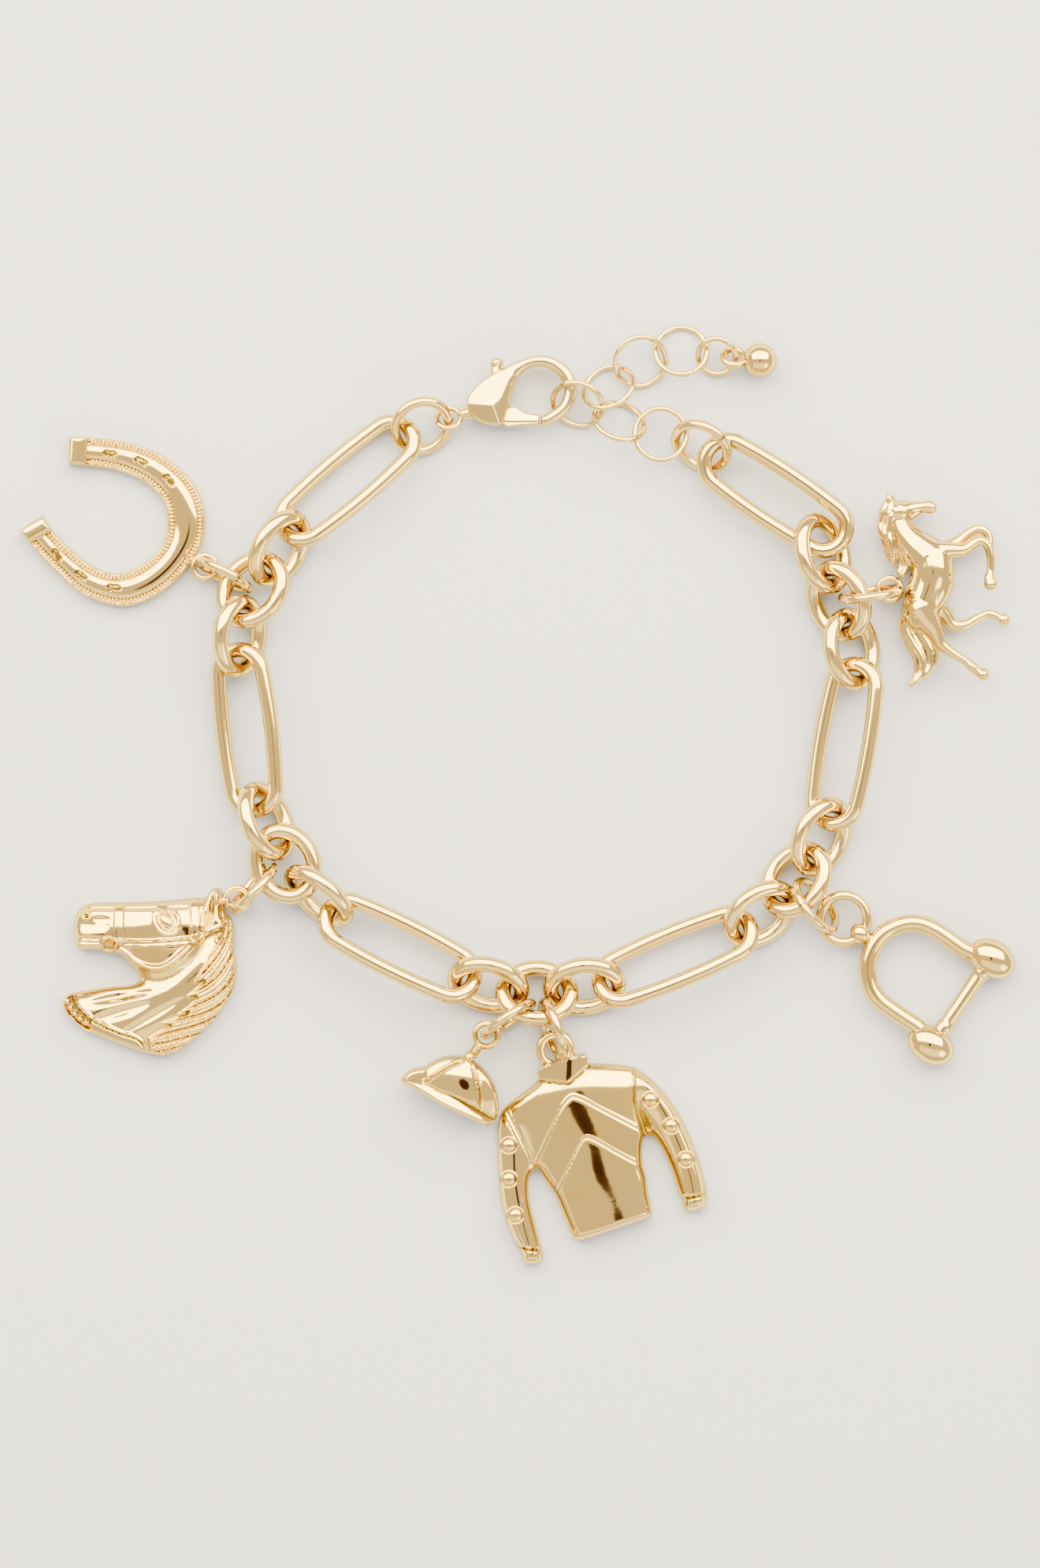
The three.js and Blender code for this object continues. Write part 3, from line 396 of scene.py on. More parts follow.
def tidy(made):
    """Merges doubles, turns faces outwards and shades smooth but for the crisp edges."""
    work = bmesh.new()
    work.from_mesh(made.data)
    bmesh.ops.remove_doubles(work, verts=work.verts, dist=1e-7)
    bmesh.ops.dissolve_degenerate(work, edges=work.edges, dist=1e-8)
    bmesh.ops.recalc_face_normals(work, faces=work.faces)
    work.to_mesh(made.data)
    work.free()
    made.data.polygons.foreach_set("use_smooth", [True] * len(made.data.polygons))
    made.data.set_sharp_from_angle(angle=math.radians(SHARP_ANGLE))


def sweep(name, centres, radii, closed=False, sides=20):
    """A round bar through centres in mm, with a radius at each, rounded at its ends if it is open."""
    centres = np.asarray(centres, float)
    radii = np.broadcast_to(np.asarray(radii, float), (len(centres),))
    if not closed:
        start = centres[0] - centres[1]
        start /= np.linalg.norm(start)
        end = centres[-1] - centres[-2]
        end /= np.linalg.norm(end)
        turns = np.radians([72, 48, 24])
        head = [centres[0] + start * radii[0] * math.sin(t) for t in turns]
        tail = [centres[-1] + end * radii[-1] * math.sin(t) for t in turns[::-1]]
        head_r = [radii[0] * math.cos(t) for t in turns]
        tail_r = [radii[-1] * math.cos(t) for t in turns[::-1]]
        centres = np.concatenate([head, centres, tail])
        radii = np.concatenate([head_r, radii, tail_r])
    count = len(centres)
    vertices = []
    normal = None
    for i in range(count):
        before = centres[i - 1] if (closed or i > 0) else centres[i]
        after = centres[(i + 1) % count] if (closed or i + 1 < count) else centres[i]
        along = after - before
        along /= np.linalg.norm(along)
        if normal is None:
            normal = np.cross(along, [0, 0, 1])
            if np.linalg.norm(normal) < 1e-6:
                normal = np.array([1.0, 0, 0])
        normal = normal - along * normal.dot(along)
        normal /= np.linalg.norm(normal)
        side = np.cross(along, normal)
        for k in range(sides):
            turn = 2 * math.pi * k / sides
            vertices.append(centres[i] + radii[i] * (math.cos(turn) * normal + math.sin(turn) * side))
    faces = []
    for i in range(count if closed else count - 1):
        j = (i + 1) % count
        for k in range(sides):
            m = (k + 1) % sides
            faces.append((i * sides + k, i * sides + m, j * sides + m, j * sides + k))
    if not closed:
        faces.append(tuple(range(sides))[::-1])
        faces.append(tuple((count - 1) * sides + k for k in range(sides)))
    return mesh_object(name, vertices, faces)


def blob(name, centre, radii, heading=0.0, around=40, down=24):
    """A smooth oval ball, turned in plan by a heading in degrees."""
    work = bmesh.new()
    bmesh.ops.create_uvsphere(work, u_segments=around, v_segments=down, radius=1.0)
    turn = Matrix.Rotation(math.radians(heading), 4, "Z")
    size = Matrix.Diagonal((*radii, 1.0))
    bmesh.ops.transform(work, verts=work.verts, matrix=Matrix.Translation(centre) @ turn @ size)
    bmesh.ops.scale(work, verts=work.verts, vec=(MM, MM, MM))
    mesh = bpy.data.meshes.new(name)
    work.to_mesh(mesh)
    work.free()
    made = bpy.data.objects.new(name, mesh)
    bpy.context.collection.objects.link(made)
    tidy(made)
    return made


def merged(name, pieces):
    """One object from several, each keeping its own shape."""
    for piece in bpy.context.selected_objects:
        piece.select_set(False)
    for piece in pieces:
        piece.select_set(True)
    bpy.context.view_layer.objects.active = pieces[0]
    bpy.ops.object.join()
    pieces[0].name = name
    pieces[0].data.name = name
    return pieces[0]


def paint_shade_on_steep_sides(made):
    """Adds painted shade to the shade attribute on steep sides, so that they are drawn a darker gold."""
    mesh = made.data
    count = len(mesh.vertices)
    normals = np.empty(count * 3)
    mesh.vertices.foreach_get("normal", normals)
    steep_side_shade = 0.9 * (1 - ramp(normals.reshape(-1, 3)[:, 2], 0.30, 0.68))
    layer = mesh.attributes.get("hollow") or mesh.attributes.new("hollow", "FLOAT", "POINT")
    values = np.empty(count)
    layer.data.foreach_get("value", values)
    layer.data.foreach_set("value", np.maximum(values, steep_side_shade).astype(np.float32))


def finish_piece(piece, slot, nodes, body=BODY):
    """Gives a finished piece its plate, its body and the solids that it stands for."""
    missing = [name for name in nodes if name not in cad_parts]
    if missing or not piece.data.polygons:
        raise RuntimeError(f"{piece.name} is empty, or the frame lacks its solids: {missing}")
    # Painted shade: steep sides are drawn a darker gold.
    paint_shade_on_steep_sides(piece)
    piece.data.materials.clear()
    piece.data.materials.append(material(slot))
    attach(piece, body)
    if nodes:
        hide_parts(*nodes)


# Plates

class PlateColours(bpy.types.PropertyGroup):
    """Colours and gloss of the three gold plates."""

    chain: bpy.props.FloatVectorProperty(
        name="Chain", description="Colour of the chain's and rings' plate", subtype="COLOR", size=4,
        min=0.0, max=1.0, default=linear("#fcda78"))
    # Painted shade: the darker gold drawn in the chain's hollows and on its steep sides.
    chain_painted_shade: bpy.props.FloatVectorProperty(
        name="Chain, deep", description="Colour of that plate in hollows", subtype="COLOR", size=4,
        min=0.0, max=1.0, default=linear("#a48e20"))
    chain_roughness: bpy.props.FloatProperty(
        name="Chain roughness", description="How dull the chain's polish is", subtype="FACTOR",
        min=0.0, max=1.0, default=0.075)
    charm: bpy.props.FloatVectorProperty(
        name="Charms", description="Colour of the charms' and the ball's plate", subtype="COLOR", size=4,
        min=0.0, max=1.0, default=linear("#fbd974"))
    # Painted shade: the darker gold drawn in the charms' hollows and on their steep sides.
    charm_painted_shade: bpy.props.FloatVectorProperty(
        name="Charms, deep", description="Colour of that plate in hollows", subtype="COLOR", size=4,
        min=0.0, max=1.0, default=linear("#a28a1e"))
    charm_roughness: bpy.props.FloatProperty(
        name="Charm roughness", description="How dull the charms' polish is", subtype="FACTOR",
        min=0.0, max=1.0, default=0.06)
    clasp: bpy.props.FloatVectorProperty(
        name="Clasp", description="Colour of the clasp's plate", subtype="COLOR", size=4,
        min=0.0, max=1.0, default=linear("#fcdc80"))
    # Painted shade: the darker gold drawn in the clasp's hollows and on its steep sides.
    clasp_painted_shade: bpy.props.FloatVectorProperty(
        name="Clasp, deep", description="Colour of that plate in hollows", subtype="COLOR", size=4,
        min=0.0, max=1.0, default=linear("#ac9628"))
    clasp_roughness: bpy.props.FloatProperty(
        name="Clasp roughness", description="How dull the clasp's polish is", subtype="FACTOR",
        min=0.0, max=1.0, default=0.05)


# For each slot: the plate's name, the width of its grain and how high that grain stands, in mm.
FINISHES = {
    # Drawn brass wire, barrel-polished and gold plated: even, mirror bright.
    "chain_gold": ("polished_gold_wire", 0.9, 0.002),
    # Die-cast alloy, gold plated: bright, with a faint orange-peel from the casting.
    "charm_gold": ("cast_gold_plate", 0.7, 0.002),
    # Stamped and polished clasp shell with a thicker plate: the smoothest surface of all.
    "clasp_gold": ("clasp_gold_plate", 1.2, 0.001),
}
MATERIALS = {}


def material(slot):
    """A slot's plate in its present colours, made once for each set of them."""
    plates = bpy.context.scene.bracelet_plates
    kind = slot.split("_")[0]
    colour = tuple(getattr(plates, kind))
    # The painted shade colour of this plate.
    painted_shade = tuple(getattr(plates, kind + "_painted_shade"))
    roughness = getattr(plates, kind + "_roughness")
    key = (slot, colour, painted_shade, roughness)
    if key not in MATERIALS:
        name, grain_mm, bump_mm = FINISHES[slot]
        MATERIALS[key] = plate_material(name, colour, painted_shade, roughness, grain_mm, bump_mm)
    return MATERIALS[key]


# Geometry nodes

TREES = {}


def begin_tree(name, numbers, counts=()):
    """A geometry node tree with named inputs: a geometry, numbers, whole numbers and a plate."""
    tree = bpy.data.node_groups.new(name, "GeometryNodeTree")
    face = tree.interface
    face.new_socket("Geometry", in_out="INPUT", socket_type="NodeSocketGeometry")
    for label in numbers:
        face.new_socket(label, in_out="INPUT", socket_type="NodeSocketFloat")
    for label in counts:
        face.new_socket(label, in_out="INPUT", socket_type="NodeSocketInt")
    face.new_socket("Plate", in_out="INPUT", socket_type="NodeSocketMaterial")
    face.new_socket("Geometry", in_out="OUTPUT", socket_type="NodeSocketGeometry")
    return tree, tree.nodes.new("NodeGroupInput").outputs


def end_tree(tree, given, spread):
    """Makes a tree's instances real, smooth and plated, and gives them out."""
    real = node(tree, "GeometryNodeRealizeInstances", {"Geometry": spread.outputs[0]})
    soft = node(tree, "GeometryNodeSetShadeSmooth", {"Geometry": real.outputs[0]})
    done = node(tree, "GeometryNodeSetMaterial", {
        "Geometry": soft.outputs[0], "Material": given["Plate"]})
    node(tree, "NodeGroupOutput", {0: done.outputs[0]})
    return tree


def plain_mesh(seed, name):
    """The evaluated result of an object's modifiers as a plain mesh object."""
    graph = bpy.context.evaluated_depsgraph_get()
    mesh = bpy.data.meshes.new_from_object(seed.evaluated_get(graph))
    mesh.name = name
    made = bpy.data.objects.new(name, mesh)
    bpy.context.collection.objects.link(made)
    bpy.data.objects.remove(seed)
    tidy(made)
    return made


def grown(name, mesh, make_tree, values):
    """What a geometry node tree makes of a seed mesh, as one plain mesh."""
    seed = bpy.data.objects.new(name + "_seed", mesh)
    bpy.context.collection.objects.link(seed)
    if make_tree not in TREES:
        TREES[make_tree] = make_tree()
    tree = TREES[make_tree]
    modifier = seed.modifiers.new(tree.name, "NODES")
    modifier.node_group = tree
    for item in tree.interface.items_tree:
        if item.in_out == "INPUT" and item.name in values:
            modifier[item.identifier] = values[item.name]
    return plain_mesh(seed, name)


# Chain

class LinkSizes(bpy.types.PropertyGroup):
    """Sizes of the chain's links and of the rings."""

    long_length: bpy.props.FloatProperty(
        name="Long link", description="Outer length of a long link", unit="LENGTH", default=18.0 * MM)
    long_width: bpy.props.FloatProperty(
        name="Long link width", description="Outer width of a long link", unit="LENGTH", default=6.95 * MM)
    long_wire: bpy.props.FloatProperty(
        name="Long link wire", description="Wire of a long link", unit="LENGTH", default=1.58 * MM)
    oval_length: bpy.props.FloatProperty(
        name="Oval link", description="Outer length of an oval link", unit="LENGTH", default=8.55 * MM)
    oval_width: bpy.props.FloatProperty(
        name="Oval link width", description="Outer width of an oval link", unit="LENGTH", default=7.25 * MM)
    oval_wire: bpy.props.FloatProperty(
        name="Oval link wire", description="Wire of an oval link", unit="LENGTH", default=1.63 * MM)
    end_outer: bpy.props.FloatProperty(
        name="End ring", description="Outer width of the two end rings", unit="LENGTH", default=6.65 * MM)
    end_wire: bpy.props.FloatProperty(
        name="End ring wire", description="Wire of the two end rings", unit="LENGTH", default=1.02 * MM)
    extender_outer: bpy.props.FloatProperty(
        name="Extender ring", description="Outer width of the extender's rings", unit="LENGTH",
        default=5.8 * MM)
    last_outer: bpy.props.FloatProperty(
        name="Last extender ring", description="Outer width of the ring that carries the ball",
        unit="LENGTH", default=4.4 * MM)
    extender_wire: bpy.props.FloatProperty(
        name="Extender wire", description="Wire of the extender's rings", unit="LENGTH", default=0.56 * MM)
    charm_outer: bpy.props.FloatProperty(
        name="Charm ring", description="Outer width of the rings that carry the charms", unit="LENGTH",
        default=6.7 * MM)
    charm_wire: bpy.props.FloatProperty(
        name="Charm ring wire", description="Wire of those rings", unit="LENGTH", default=0.92 * MM)


def node_number(tree, operation, *values):
    """One arithmetic node on numbers or sockets."""
    made = tree.nodes.new("ShaderNodeMath")
    made.operation = operation
    for socket, value in zip(made.inputs, values):
        if isinstance(value, bpy.types.NodeSocket):
            tree.links.new(value, socket)
        else:
            socket.default_value = value
    return made.outputs[0]


def loop_tree():
    """Geometry nodes: a loop of round wire on each point, turned by the point's own turn."""
    tree, given = begin_tree("wire_loops", ("Length", "Width", "Wire", "Straight", "Bow", "Joint"),
                             ("Around", "Across"))
    circle = node(tree, "GeometryNodeCurvePrimitiveCircle", {"Resolution": 240, "Radius": 1.0})
    where = node(tree, "GeometryNodeInputPosition")
    parts = node(tree, "ShaderNodeSeparateXYZ", {0: where.outputs[0]})
    # The circle opens out into two ends and two sides: a fifteenth of it becomes each straight side.
    share = node_number(tree, "DIVIDE", parts.outputs["X"], 0.12)
    side = node_number(tree, "MINIMUM", node_number(tree, "MAXIMUM", share, -1.0), 1.0)
    half_width = node_number(tree, "MULTIPLY", node_number(
        tree, "SUBTRACT", given["Width"], given["Wire"]), 0.5)
    end = node_number(tree, "MULTIPLY", half_width, node_number(tree, "SUBTRACT", 1.0, given["Bow"]))
    half_length = node_number(tree, "MULTIPLY", node_number(
        tree, "SUBTRACT", given["Length"], given["Wire"]), 0.5)
    straight = node_number(tree, "MULTIPLY", given["Straight"], node_number(
        tree, "SUBTRACT", half_length, end))
    reach = node_number(tree, "SUBTRACT", half_length, straight)
    x = node_number(tree, "ADD", node_number(tree, "MULTIPLY", parts.outputs["X"], reach),
                    node_number(tree, "MULTIPLY", side, straight))
    fall = node_number(tree, "MULTIPLY", side, side)
    bowed = node_number(tree, "SUBTRACT", half_width, node_number(
        tree, "MULTIPLY", fall, node_number(tree, "SUBTRACT", half_width, end)))
    y = node_number(tree, "MULTIPLY", parts.outputs["Y"], bowed)
    shaped = node(tree, "GeometryNodeSetPosition", {
        "Geometry": circle.outputs["Curve"],
        "Position": node(tree, "ShaderNodeCombineXYZ", {"X": x, "Y": y}).outputs[0]})
    # A hair-thin butt joint where the wire was closed.
    cut = node(tree, "GeometryNodeTrimCurve", {
        "Curve": shaped.outputs[0], "Start": given["Joint"], "End": 1.0}, mode="FACTOR")
    even = node(tree, "GeometryNodeResampleCurve", {
        "Curve": cut.outputs[0], "Count": given["Around"]})
    profile = node(tree, "GeometryNodeCurvePrimitiveCircle", {
        "Resolution": given["Across"],
        "Radius": node_number(tree, "MULTIPLY", given["Wire"], 0.5)})
    wire = node(tree, "GeometryNodeCurveToMesh", {
        "Curve": even.outputs[0], "Profile Curve": profile.outputs["Curve"], "Fill Caps": True})
    turn = node(tree, "GeometryNodeInputNamedAttribute", {"Name": "turn"}, data_type="QUATERNION")
    spread = node(tree, "GeometryNodeInstanceOnPoints", {
        "Points": given["Geometry"], "Instance": wire.outputs[0], "Rotation": turn.outputs["Attribute"]})
    return end_tree(tree, given, spread)


def node_pose(name):
    """A loop's middle and its axes in the frame, read off its solid: along, across and off it."""
    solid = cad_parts[name]
    points = np.empty(len(solid.data.vertices) * 3)
    solid.data.vertices.foreach_get("co", points)
    points = np.unique(np.round(points.reshape(-1, 3), 7), axis=0)
    world = np.array(solid.matrix_world)
    points = points @ world[:3, :3].T + world[:3, 3]
    middle = points.mean(0)
    _, _, axes = np.linalg.svd(points - middle)
    if np.linalg.det(axes) < 0:
        axes[2] = -axes[2]
    return middle, axes


def loops_object(name, nodes, length, width, wire, joint, around, across, straight=0.0, bow=0.0):
    """Makes all the loops of one kind as one piece. Straight is the straight share of the sides, bow
    how far they swell, joint the share of the loop left open, around and across the counts of faces."""
    mesh = bpy.data.meshes.new(name)
    poses = [node_pose(n) for n in nodes]
    mesh.from_pydata([tuple(middle) for middle, _ in poses], [], [])
    layer = mesh.attributes.new("turn", "QUATERNION", "POINT")
    for i, (_, axes) in enumerate(poses):
        quaternion = Matrix(axes).transposed().to_quaternion()
        layer.data[i].value = (quaternion.w, quaternion.x, quaternion.y, quaternion.z)
    piece = grown(name, mesh, loop_tree, {
        "Length": length, "Width": width, "Wire": wire, "Straight": straight, "Bow": bow,
        "Joint": joint, "Around": around, "Across": across, "Plate": material("chain_gold")})
    finish_piece(piece, "chain_gold", nodes)


def link_names(kind):
    """The solids of one kind, in order."""
    return sorted((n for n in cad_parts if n.startswith(kind)), key=lambda n: int(n.split("_")[-1]))


class BRACELET_OT_chain(bpy.types.Operator):
    """Makes the long links, the oval links and the two end rings"""

    bl_idname = "bracelet.chain"
    bl_label = "Chain"

    def execute(self, context):
        sizes = context.scene.bracelet_links
        loops_object("long_links", link_names("long_link"), sizes.long_length, sizes.long_width,
                     sizes.long_wire, 0.0012, 132, 22, straight=1.0, bow=0.10)
        loops_object("oval_links", link_names("oval_link"), sizes.oval_length, sizes.oval_width,
                     sizes.oval_wire, 0.002, 84, 22)
        loops_object("end_rings", ["end_ring_clasp", "end_ring_extender"], sizes.end_outer,
                     sizes.end_outer, sizes.end_wire, 0.003, 64, 18)
        return {"FINISHED"}


class BRACELET_OT_small_rings(bpy.types.Operator):
    """Makes the extender's rings and the rings that carry the charms"""

    bl_idname = "bracelet.small_rings"
    bl_label = "Small rings"

    def execute(self, context):
        sizes = context.scene.bracelet_links
        names = link_names("extender_ring")
        loops_object("extender_rings", names[:-1], sizes.extender_outer, sizes.extender_outer,
                     sizes.extender_wire, 0.003, 64, 14)
        loops_object("extender_last_ring", names[-1:], sizes.last_outer, sizes.last_outer,
                     sizes.extender_wire, 0.003, 56, 14)
        names = ["horseshoe_ring", "horse_head_ring", "cap_ring", "jersey_ring", "shackle_ring",
                 "running_horse_ring"]
        loops_object("charm_rings", names, sizes.charm_outer, sizes.charm_outer, sizes.charm_wire,
                     0.003, 64, 18)
        return {"FINISHED"}


# Charms

class CharmSizes(bpy.types.PropertyGroup):
    """Sizes of the charms' eyes, beads and buttons."""

    eye_outer: bpy.props.FloatProperty(
        name="Eye", description="Outer width of the eye that most charms hang by", unit="LENGTH",
        default=2.95 * MM)
    eye_wire: bpy.props.FloatProperty(
        name="Eye wire", description="Wire of that eye", unit="LENGTH", default=0.6 * MM)
    shoe_pitch: bpy.props.FloatProperty(
        name="Horseshoe bead pitch", description="From bead to bead on the horseshoe", unit="LENGTH",
        default=0.38 * MM)
    shoe_bead: bpy.props.FloatProperty(
        name="Horseshoe bead", description="Radius of a bead on the horseshoe", unit="LENGTH",
        default=0.17 * MM)
    band_pitch: bpy.props.FloatProperty(
        name="Band bead pitch", description="From bead to bead on the horse head's band", unit="LENGTH",
        default=0.68 * MM)
    band_bead: bpy.props.FloatProperty(
        name="Band bead", description="Radius of a bead on the horse head's band", unit="LENGTH",
        default=0.33 * MM)
    button_dome: bpy.props.FloatProperty(
        name="Button", description="Radius of a jersey button's dome", unit="LENGTH", default=0.66 * MM)
    button_height: bpy.props.FloatProperty(
        name="Button height", description="Height of that dome", unit="LENGTH", default=0.32 * MM)
    button_rim: bpy.props.FloatProperty(
        name="Button rim", description="Radius of a button's rolled rim", unit="LENGTH",
        default=0.86 * MM)
    button_wire: bpy.props.FloatProperty(
        name="Button rim wire", description="Half the thickness of that rim", unit="LENGTH",
        default=0.12 * MM)


def eye_loop(name, centre, outer, wire, height, heading=0.0, tilt=0.0, sides=18, around=56):
    """A soldered eye: a ring of wire at a place in mm, turned about its heading by a tilt."""
    turn = (Matrix.Rotation(math.radians(heading), 3, "Z")
            @ Matrix.Rotation(math.radians(tilt), 3, "X"))
    radius = (outer - wire) / 2
    middle = Vector((centre[0], centre[1], height))
    points = []
    for i in range(around):
        angle = 2 * math.pi * i / around
        points.append(middle + turn @ Vector((radius * math.cos(angle), radius * math.sin(angle), 0)))
    return sweep(name, points, wire / 2, closed=True, sides=sides)


EYE_HEIGHT = 1.6
# The backs of the two largest charms stand this far off the floor.
BACK_LIFT = 0.03


def charm_eye(name, centre, heading, height=EYE_HEIGHT):
    """The eye that most charms hang by."""
    sizes = bpy.context.scene.bracelet_charms
    return eye_loop(name, centre, sizes.eye_outer / MM, sizes.eye_wire / MM, height, heading)


def local_axes(points, centre, heading):
    """Coordinates along and across a heading in degrees, from a centre."""
    turn = math.radians(heading)
    away = points - np.array(centre)
    along = away[:, 0] * math.cos(turn) + away[:, 1] * math.sin(turn)
    across = -away[:, 0] * math.sin(turn) + away[:, 1] * math.cos(turn)
    return along, across


# Horseshoe

SHOE_OUTER = [
    (-5.15, 8.7, 1), (-3.6, 8.65, 1), (-1.2, 8.45), (1.4, 8.0), (3.8, 7.1), (5.9, 5.7), (7.5, 4.0),
    (8.5, 2.0), (8.8, -0.2), (8.4, -2.3), (7.2, -4.4), (5.5, -6.3), (3.5, -7.7), (0.9, -8.6), (-1.5, -8.3),
    (-4.1, -7.2), (-6.3, -5.2), (-8.1, -3.4), (-9.3, -2.0, 1), (-10.1, -0.75, 1),
]
SHOE_INNER = [
    (-7.8, 0.7, 1), (-7.2, -0.3, 1), (-6.1, -1.6), (-4.3, -3.3), (-2.3, -4.7), (-0.3, -5.2), (1.7, -4.7),
    (3.5, -3.4), (4.5, -2.0), (4.9, -0.2), (4.5, 2.0), (3.1, 3.6), (0.9, 4.8), (-1.2, 5.4),
    (-3.6, 5.7, 1), (-5.15, 5.8, 1),
]
# Each nail slot: its middle and its heading in degrees.
SHOE_SLOTS = [
    (-0.9, 6.9, -8), (2.3, 6.1, -28), (5.1, 4.2, -54),
    (-6.3, -3.4, -56), (-3.8, -5.5, -38), (-0.5, -6.7, -6),
]
SLOT_STRAIGHT = 0.80
SLOT_WIDTH = 0.60
# Each heel block: its middle, half its sizes and its heading in degrees.
SHOE_HEELS = [((-4.2, 7.25), (0.96, 1.62), -3), ((-8.4, -0.85), (0.88, 1.66), -61)]
BEAD_INSET = 0.55
SHOE_BEAD_HEIGHT = 1.36
SHOE_BEAD_STRETCH = 1.35


def slab(points, centre, half, heading):
    """How far inside a turned rectangle each point lies; below 0 it is outside."""
    along, across = local_axes(points, centre, heading)
    return np.minimum(half[0] - np.abs(along), half[1] - np.abs(across))


def slot_mask(points):
    """1 inside the shoe's nail slots and 0 outside them."""
    mask = np.zeros(len(points))
    for x, y, heading in SHOE_SLOTS:
        turn = math.radians(heading)
        reach = np.array([math.cos(turn), math.sin(turn)]) * SLOT_STRAIGHT / 2
        far, _ = path_distance(points, np.array([(x, y) - reach, (x, y) + reach]))
        mask = np.maximum(mask, 1 - ramp(far, SLOT_WIDTH / 2 - 0.06, SLOT_WIDTH / 2 + 0.06))
    return mask


def horseshoe_top(points, depth):
    """A bar with a rounded rim, a sunk channel for each bead row and a smooth raised middle band."""
    outer, _ = path_distance(points, smooth_path(SHOE_OUTER, closed=False))
    inner, _ = path_distance(points, smooth_path(SHOE_INNER, closed=False))
    side = np.minimum(outer, inner)
    z = dome(depth, 0.8, 1.45, 0.3)
    z -= 0.16 * ramp(side, 0.26, 0.40) * (1 - ramp(side, 0.72, 0.82))
    half = np.maximum((outer + inner) / 2 - 0.78, 0.3)
    off = 1 - np.clip((side - 0.78) / half, 0, 1)
    z += ramp(side, 0.74, 0.86) * (0.14 + 0.20 * (1 - off**2.8))
    z -= 0.80 * slot_mask(points)
    for centre, half, heading in SHOE_HEELS:
        held = slab(points, centre, half, heading)
        block = 1.55 + 0.50 * dome(np.maximum(held, 0), 0, 1, 0.7)
        z = np.where(held > 0, np.maximum(z, block * ramp(depth, -0.3, 0.2) + 0.15), z)
    return z


def bead_tree():
    """Geometry nodes: beads at an even pitch along a curve."""
    tree, given = begin_tree("bead_row", ("Pitch", "Bead", "Stretch"))
    line = node(tree, "GeometryNodeMeshToCurve", {"Mesh": given["Geometry"]})
    even = node(tree, "GeometryNodeCurveToPoints", {
        "Curve": line.outputs[0], "Length": given["Pitch"]}, mode="LENGTH")
    bead = node(tree, "GeometryNodeMeshIcoSphere", {"Radius": given["Bead"], "Subdivisions": 2})
    # Each bead is drawn out across its row.
    turned = node(tree, "FunctionNodeAlignRotationToVector", {
        "Vector": even.outputs["Tangent"]}, axis="X", pivot_axis="Z")
    shape = node(tree, "ShaderNodeCombineXYZ", {"X": 1.0, "Y": given["Stretch"], "Z": 1.0})
    spread = node(tree, "GeometryNodeInstanceOnPoints", {
        "Points": even.outputs["Points"], "Instance": bead.outputs["Mesh"],
        "Rotation": turned.outputs["Rotation"], "Scale": shape.outputs[0]})
    return end_tree(tree, given, spread)


def bead_rows(name, paths, height, pitch, radius, stretch=1.0):
    """Makes rows of beads along plan paths in mm, as one piece."""
    vertices = []
    edges = []
    for path in paths:
        first = len(vertices)
        vertices += [tuple(np.array([x, y, height]) * MM) for x, y in path]
        edges += [(first + i, first + i + 1) for i in range(len(path) - 1)]
    mesh = bpy.data.meshes.new(name)
    mesh.from_pydata(vertices, edges, [])
    beads = grown(name, mesh, bead_tree, {
        "Pitch": pitch, "Bead": radius, "Stretch": stretch, "Plate": material("charm_gold")})
    finish_piece(beads, "charm_gold", [])


def inset_path(path, inset):
    """A path moved to its right by an inset in mm."""
    lean = np.gradient(path, axis=0)
    lean /= np.linalg.norm(lean, axis=1)[:, None]
    return path + inset * np.column_stack([lean[:, 1], -lean[:, 0]])


class BRACELET_OT_horseshoe(bpy.types.Operator):
    """Makes the horseshoe with its bead rows, nail slots and eye"""

    bl_idname = "bracelet.horseshoe"
    bl_label = "Horseshoe"

    def execute(self, context):
        place = placed("horseshoe")
        outer = smooth_path(SHOE_OUTER, closed=False, per_span=10)
        inner = smooth_path(SHOE_INNER, closed=False, per_span=10)
        shoe = relief_mesh("horseshoe_bar", [np.concatenate([outer, inner])], place, 0.085, horseshoe_top)
        # Painted shade: the sunk nail slots are drawn in the darkest gold.
        paint_shade_inside(shoe, place, [(slot_mask, 1.0)])
        eye = charm_eye("horseshoe_eye", place + (8.75, -4.6), -28)
        neck = sweep("horseshoe_neck", [at(place, 7.3, -3.9, 0.8), at(place, 7.8, -4.1, 1.3)], [0.6, 0.42])
        finish_piece(merged("horseshoe", [shoe, eye, neck]), "charm_gold", ["horseshoe"])
        sizes = context.scene.bracelet_charms
        rows = [inset_path(smooth_path(path[1:-1], closed=False), BEAD_INSET)[3:-3] + place
                for path in (SHOE_OUTER, SHOE_INNER)]
        bead_rows("horseshoe_beads", rows, SHOE_BEAD_HEIGHT, sizes.shoe_pitch, sizes.shoe_bead,
                  SHOE_BEAD_STRETCH)
        return {"FINISHED"}


# Carving on a relief

def line_bump(points, path, half, height, edge=0.0):
    """A soft raised or sunk band along a path, with a fine line at each edge where edge is given."""
    far, _ = path_distance(points, smooth_path(path, closed=False, per_span=5))
    bump = height * (1 - ramp(far, half * 0.55, half))
    if edge:
        bump += edge * np.exp(-((far - half * 0.8) / 0.09) ** 2)
    return bump


def soft_line(points, path, half, height):
    """A wide, gentle swelling or valley along a path."""
    far, _ = path_distance(points, smooth_path(path, closed=False, per_span=5))
    return height * (0.5 + 0.5 * np.cos(math.pi * np.minimum(far / half, 1)))


def spindle(points, start, end, half, height):
    """A long gentle swelling that tapers to a point at each end."""
    start, end = np.array(start, float), np.array(end, float)
    reach = np.linalg.norm(end - start) / 2
    heading = math.degrees(math.atan2(*(end - start)[::-1]))
    along, across = local_axes(points, (start + end) / 2, heading)
    taper = np.clip(1 - (along / reach)**2, 0, 1)
    return height * taper * np.exp(-(across / (half * (0.35 + 0.65 * taper)))**2)


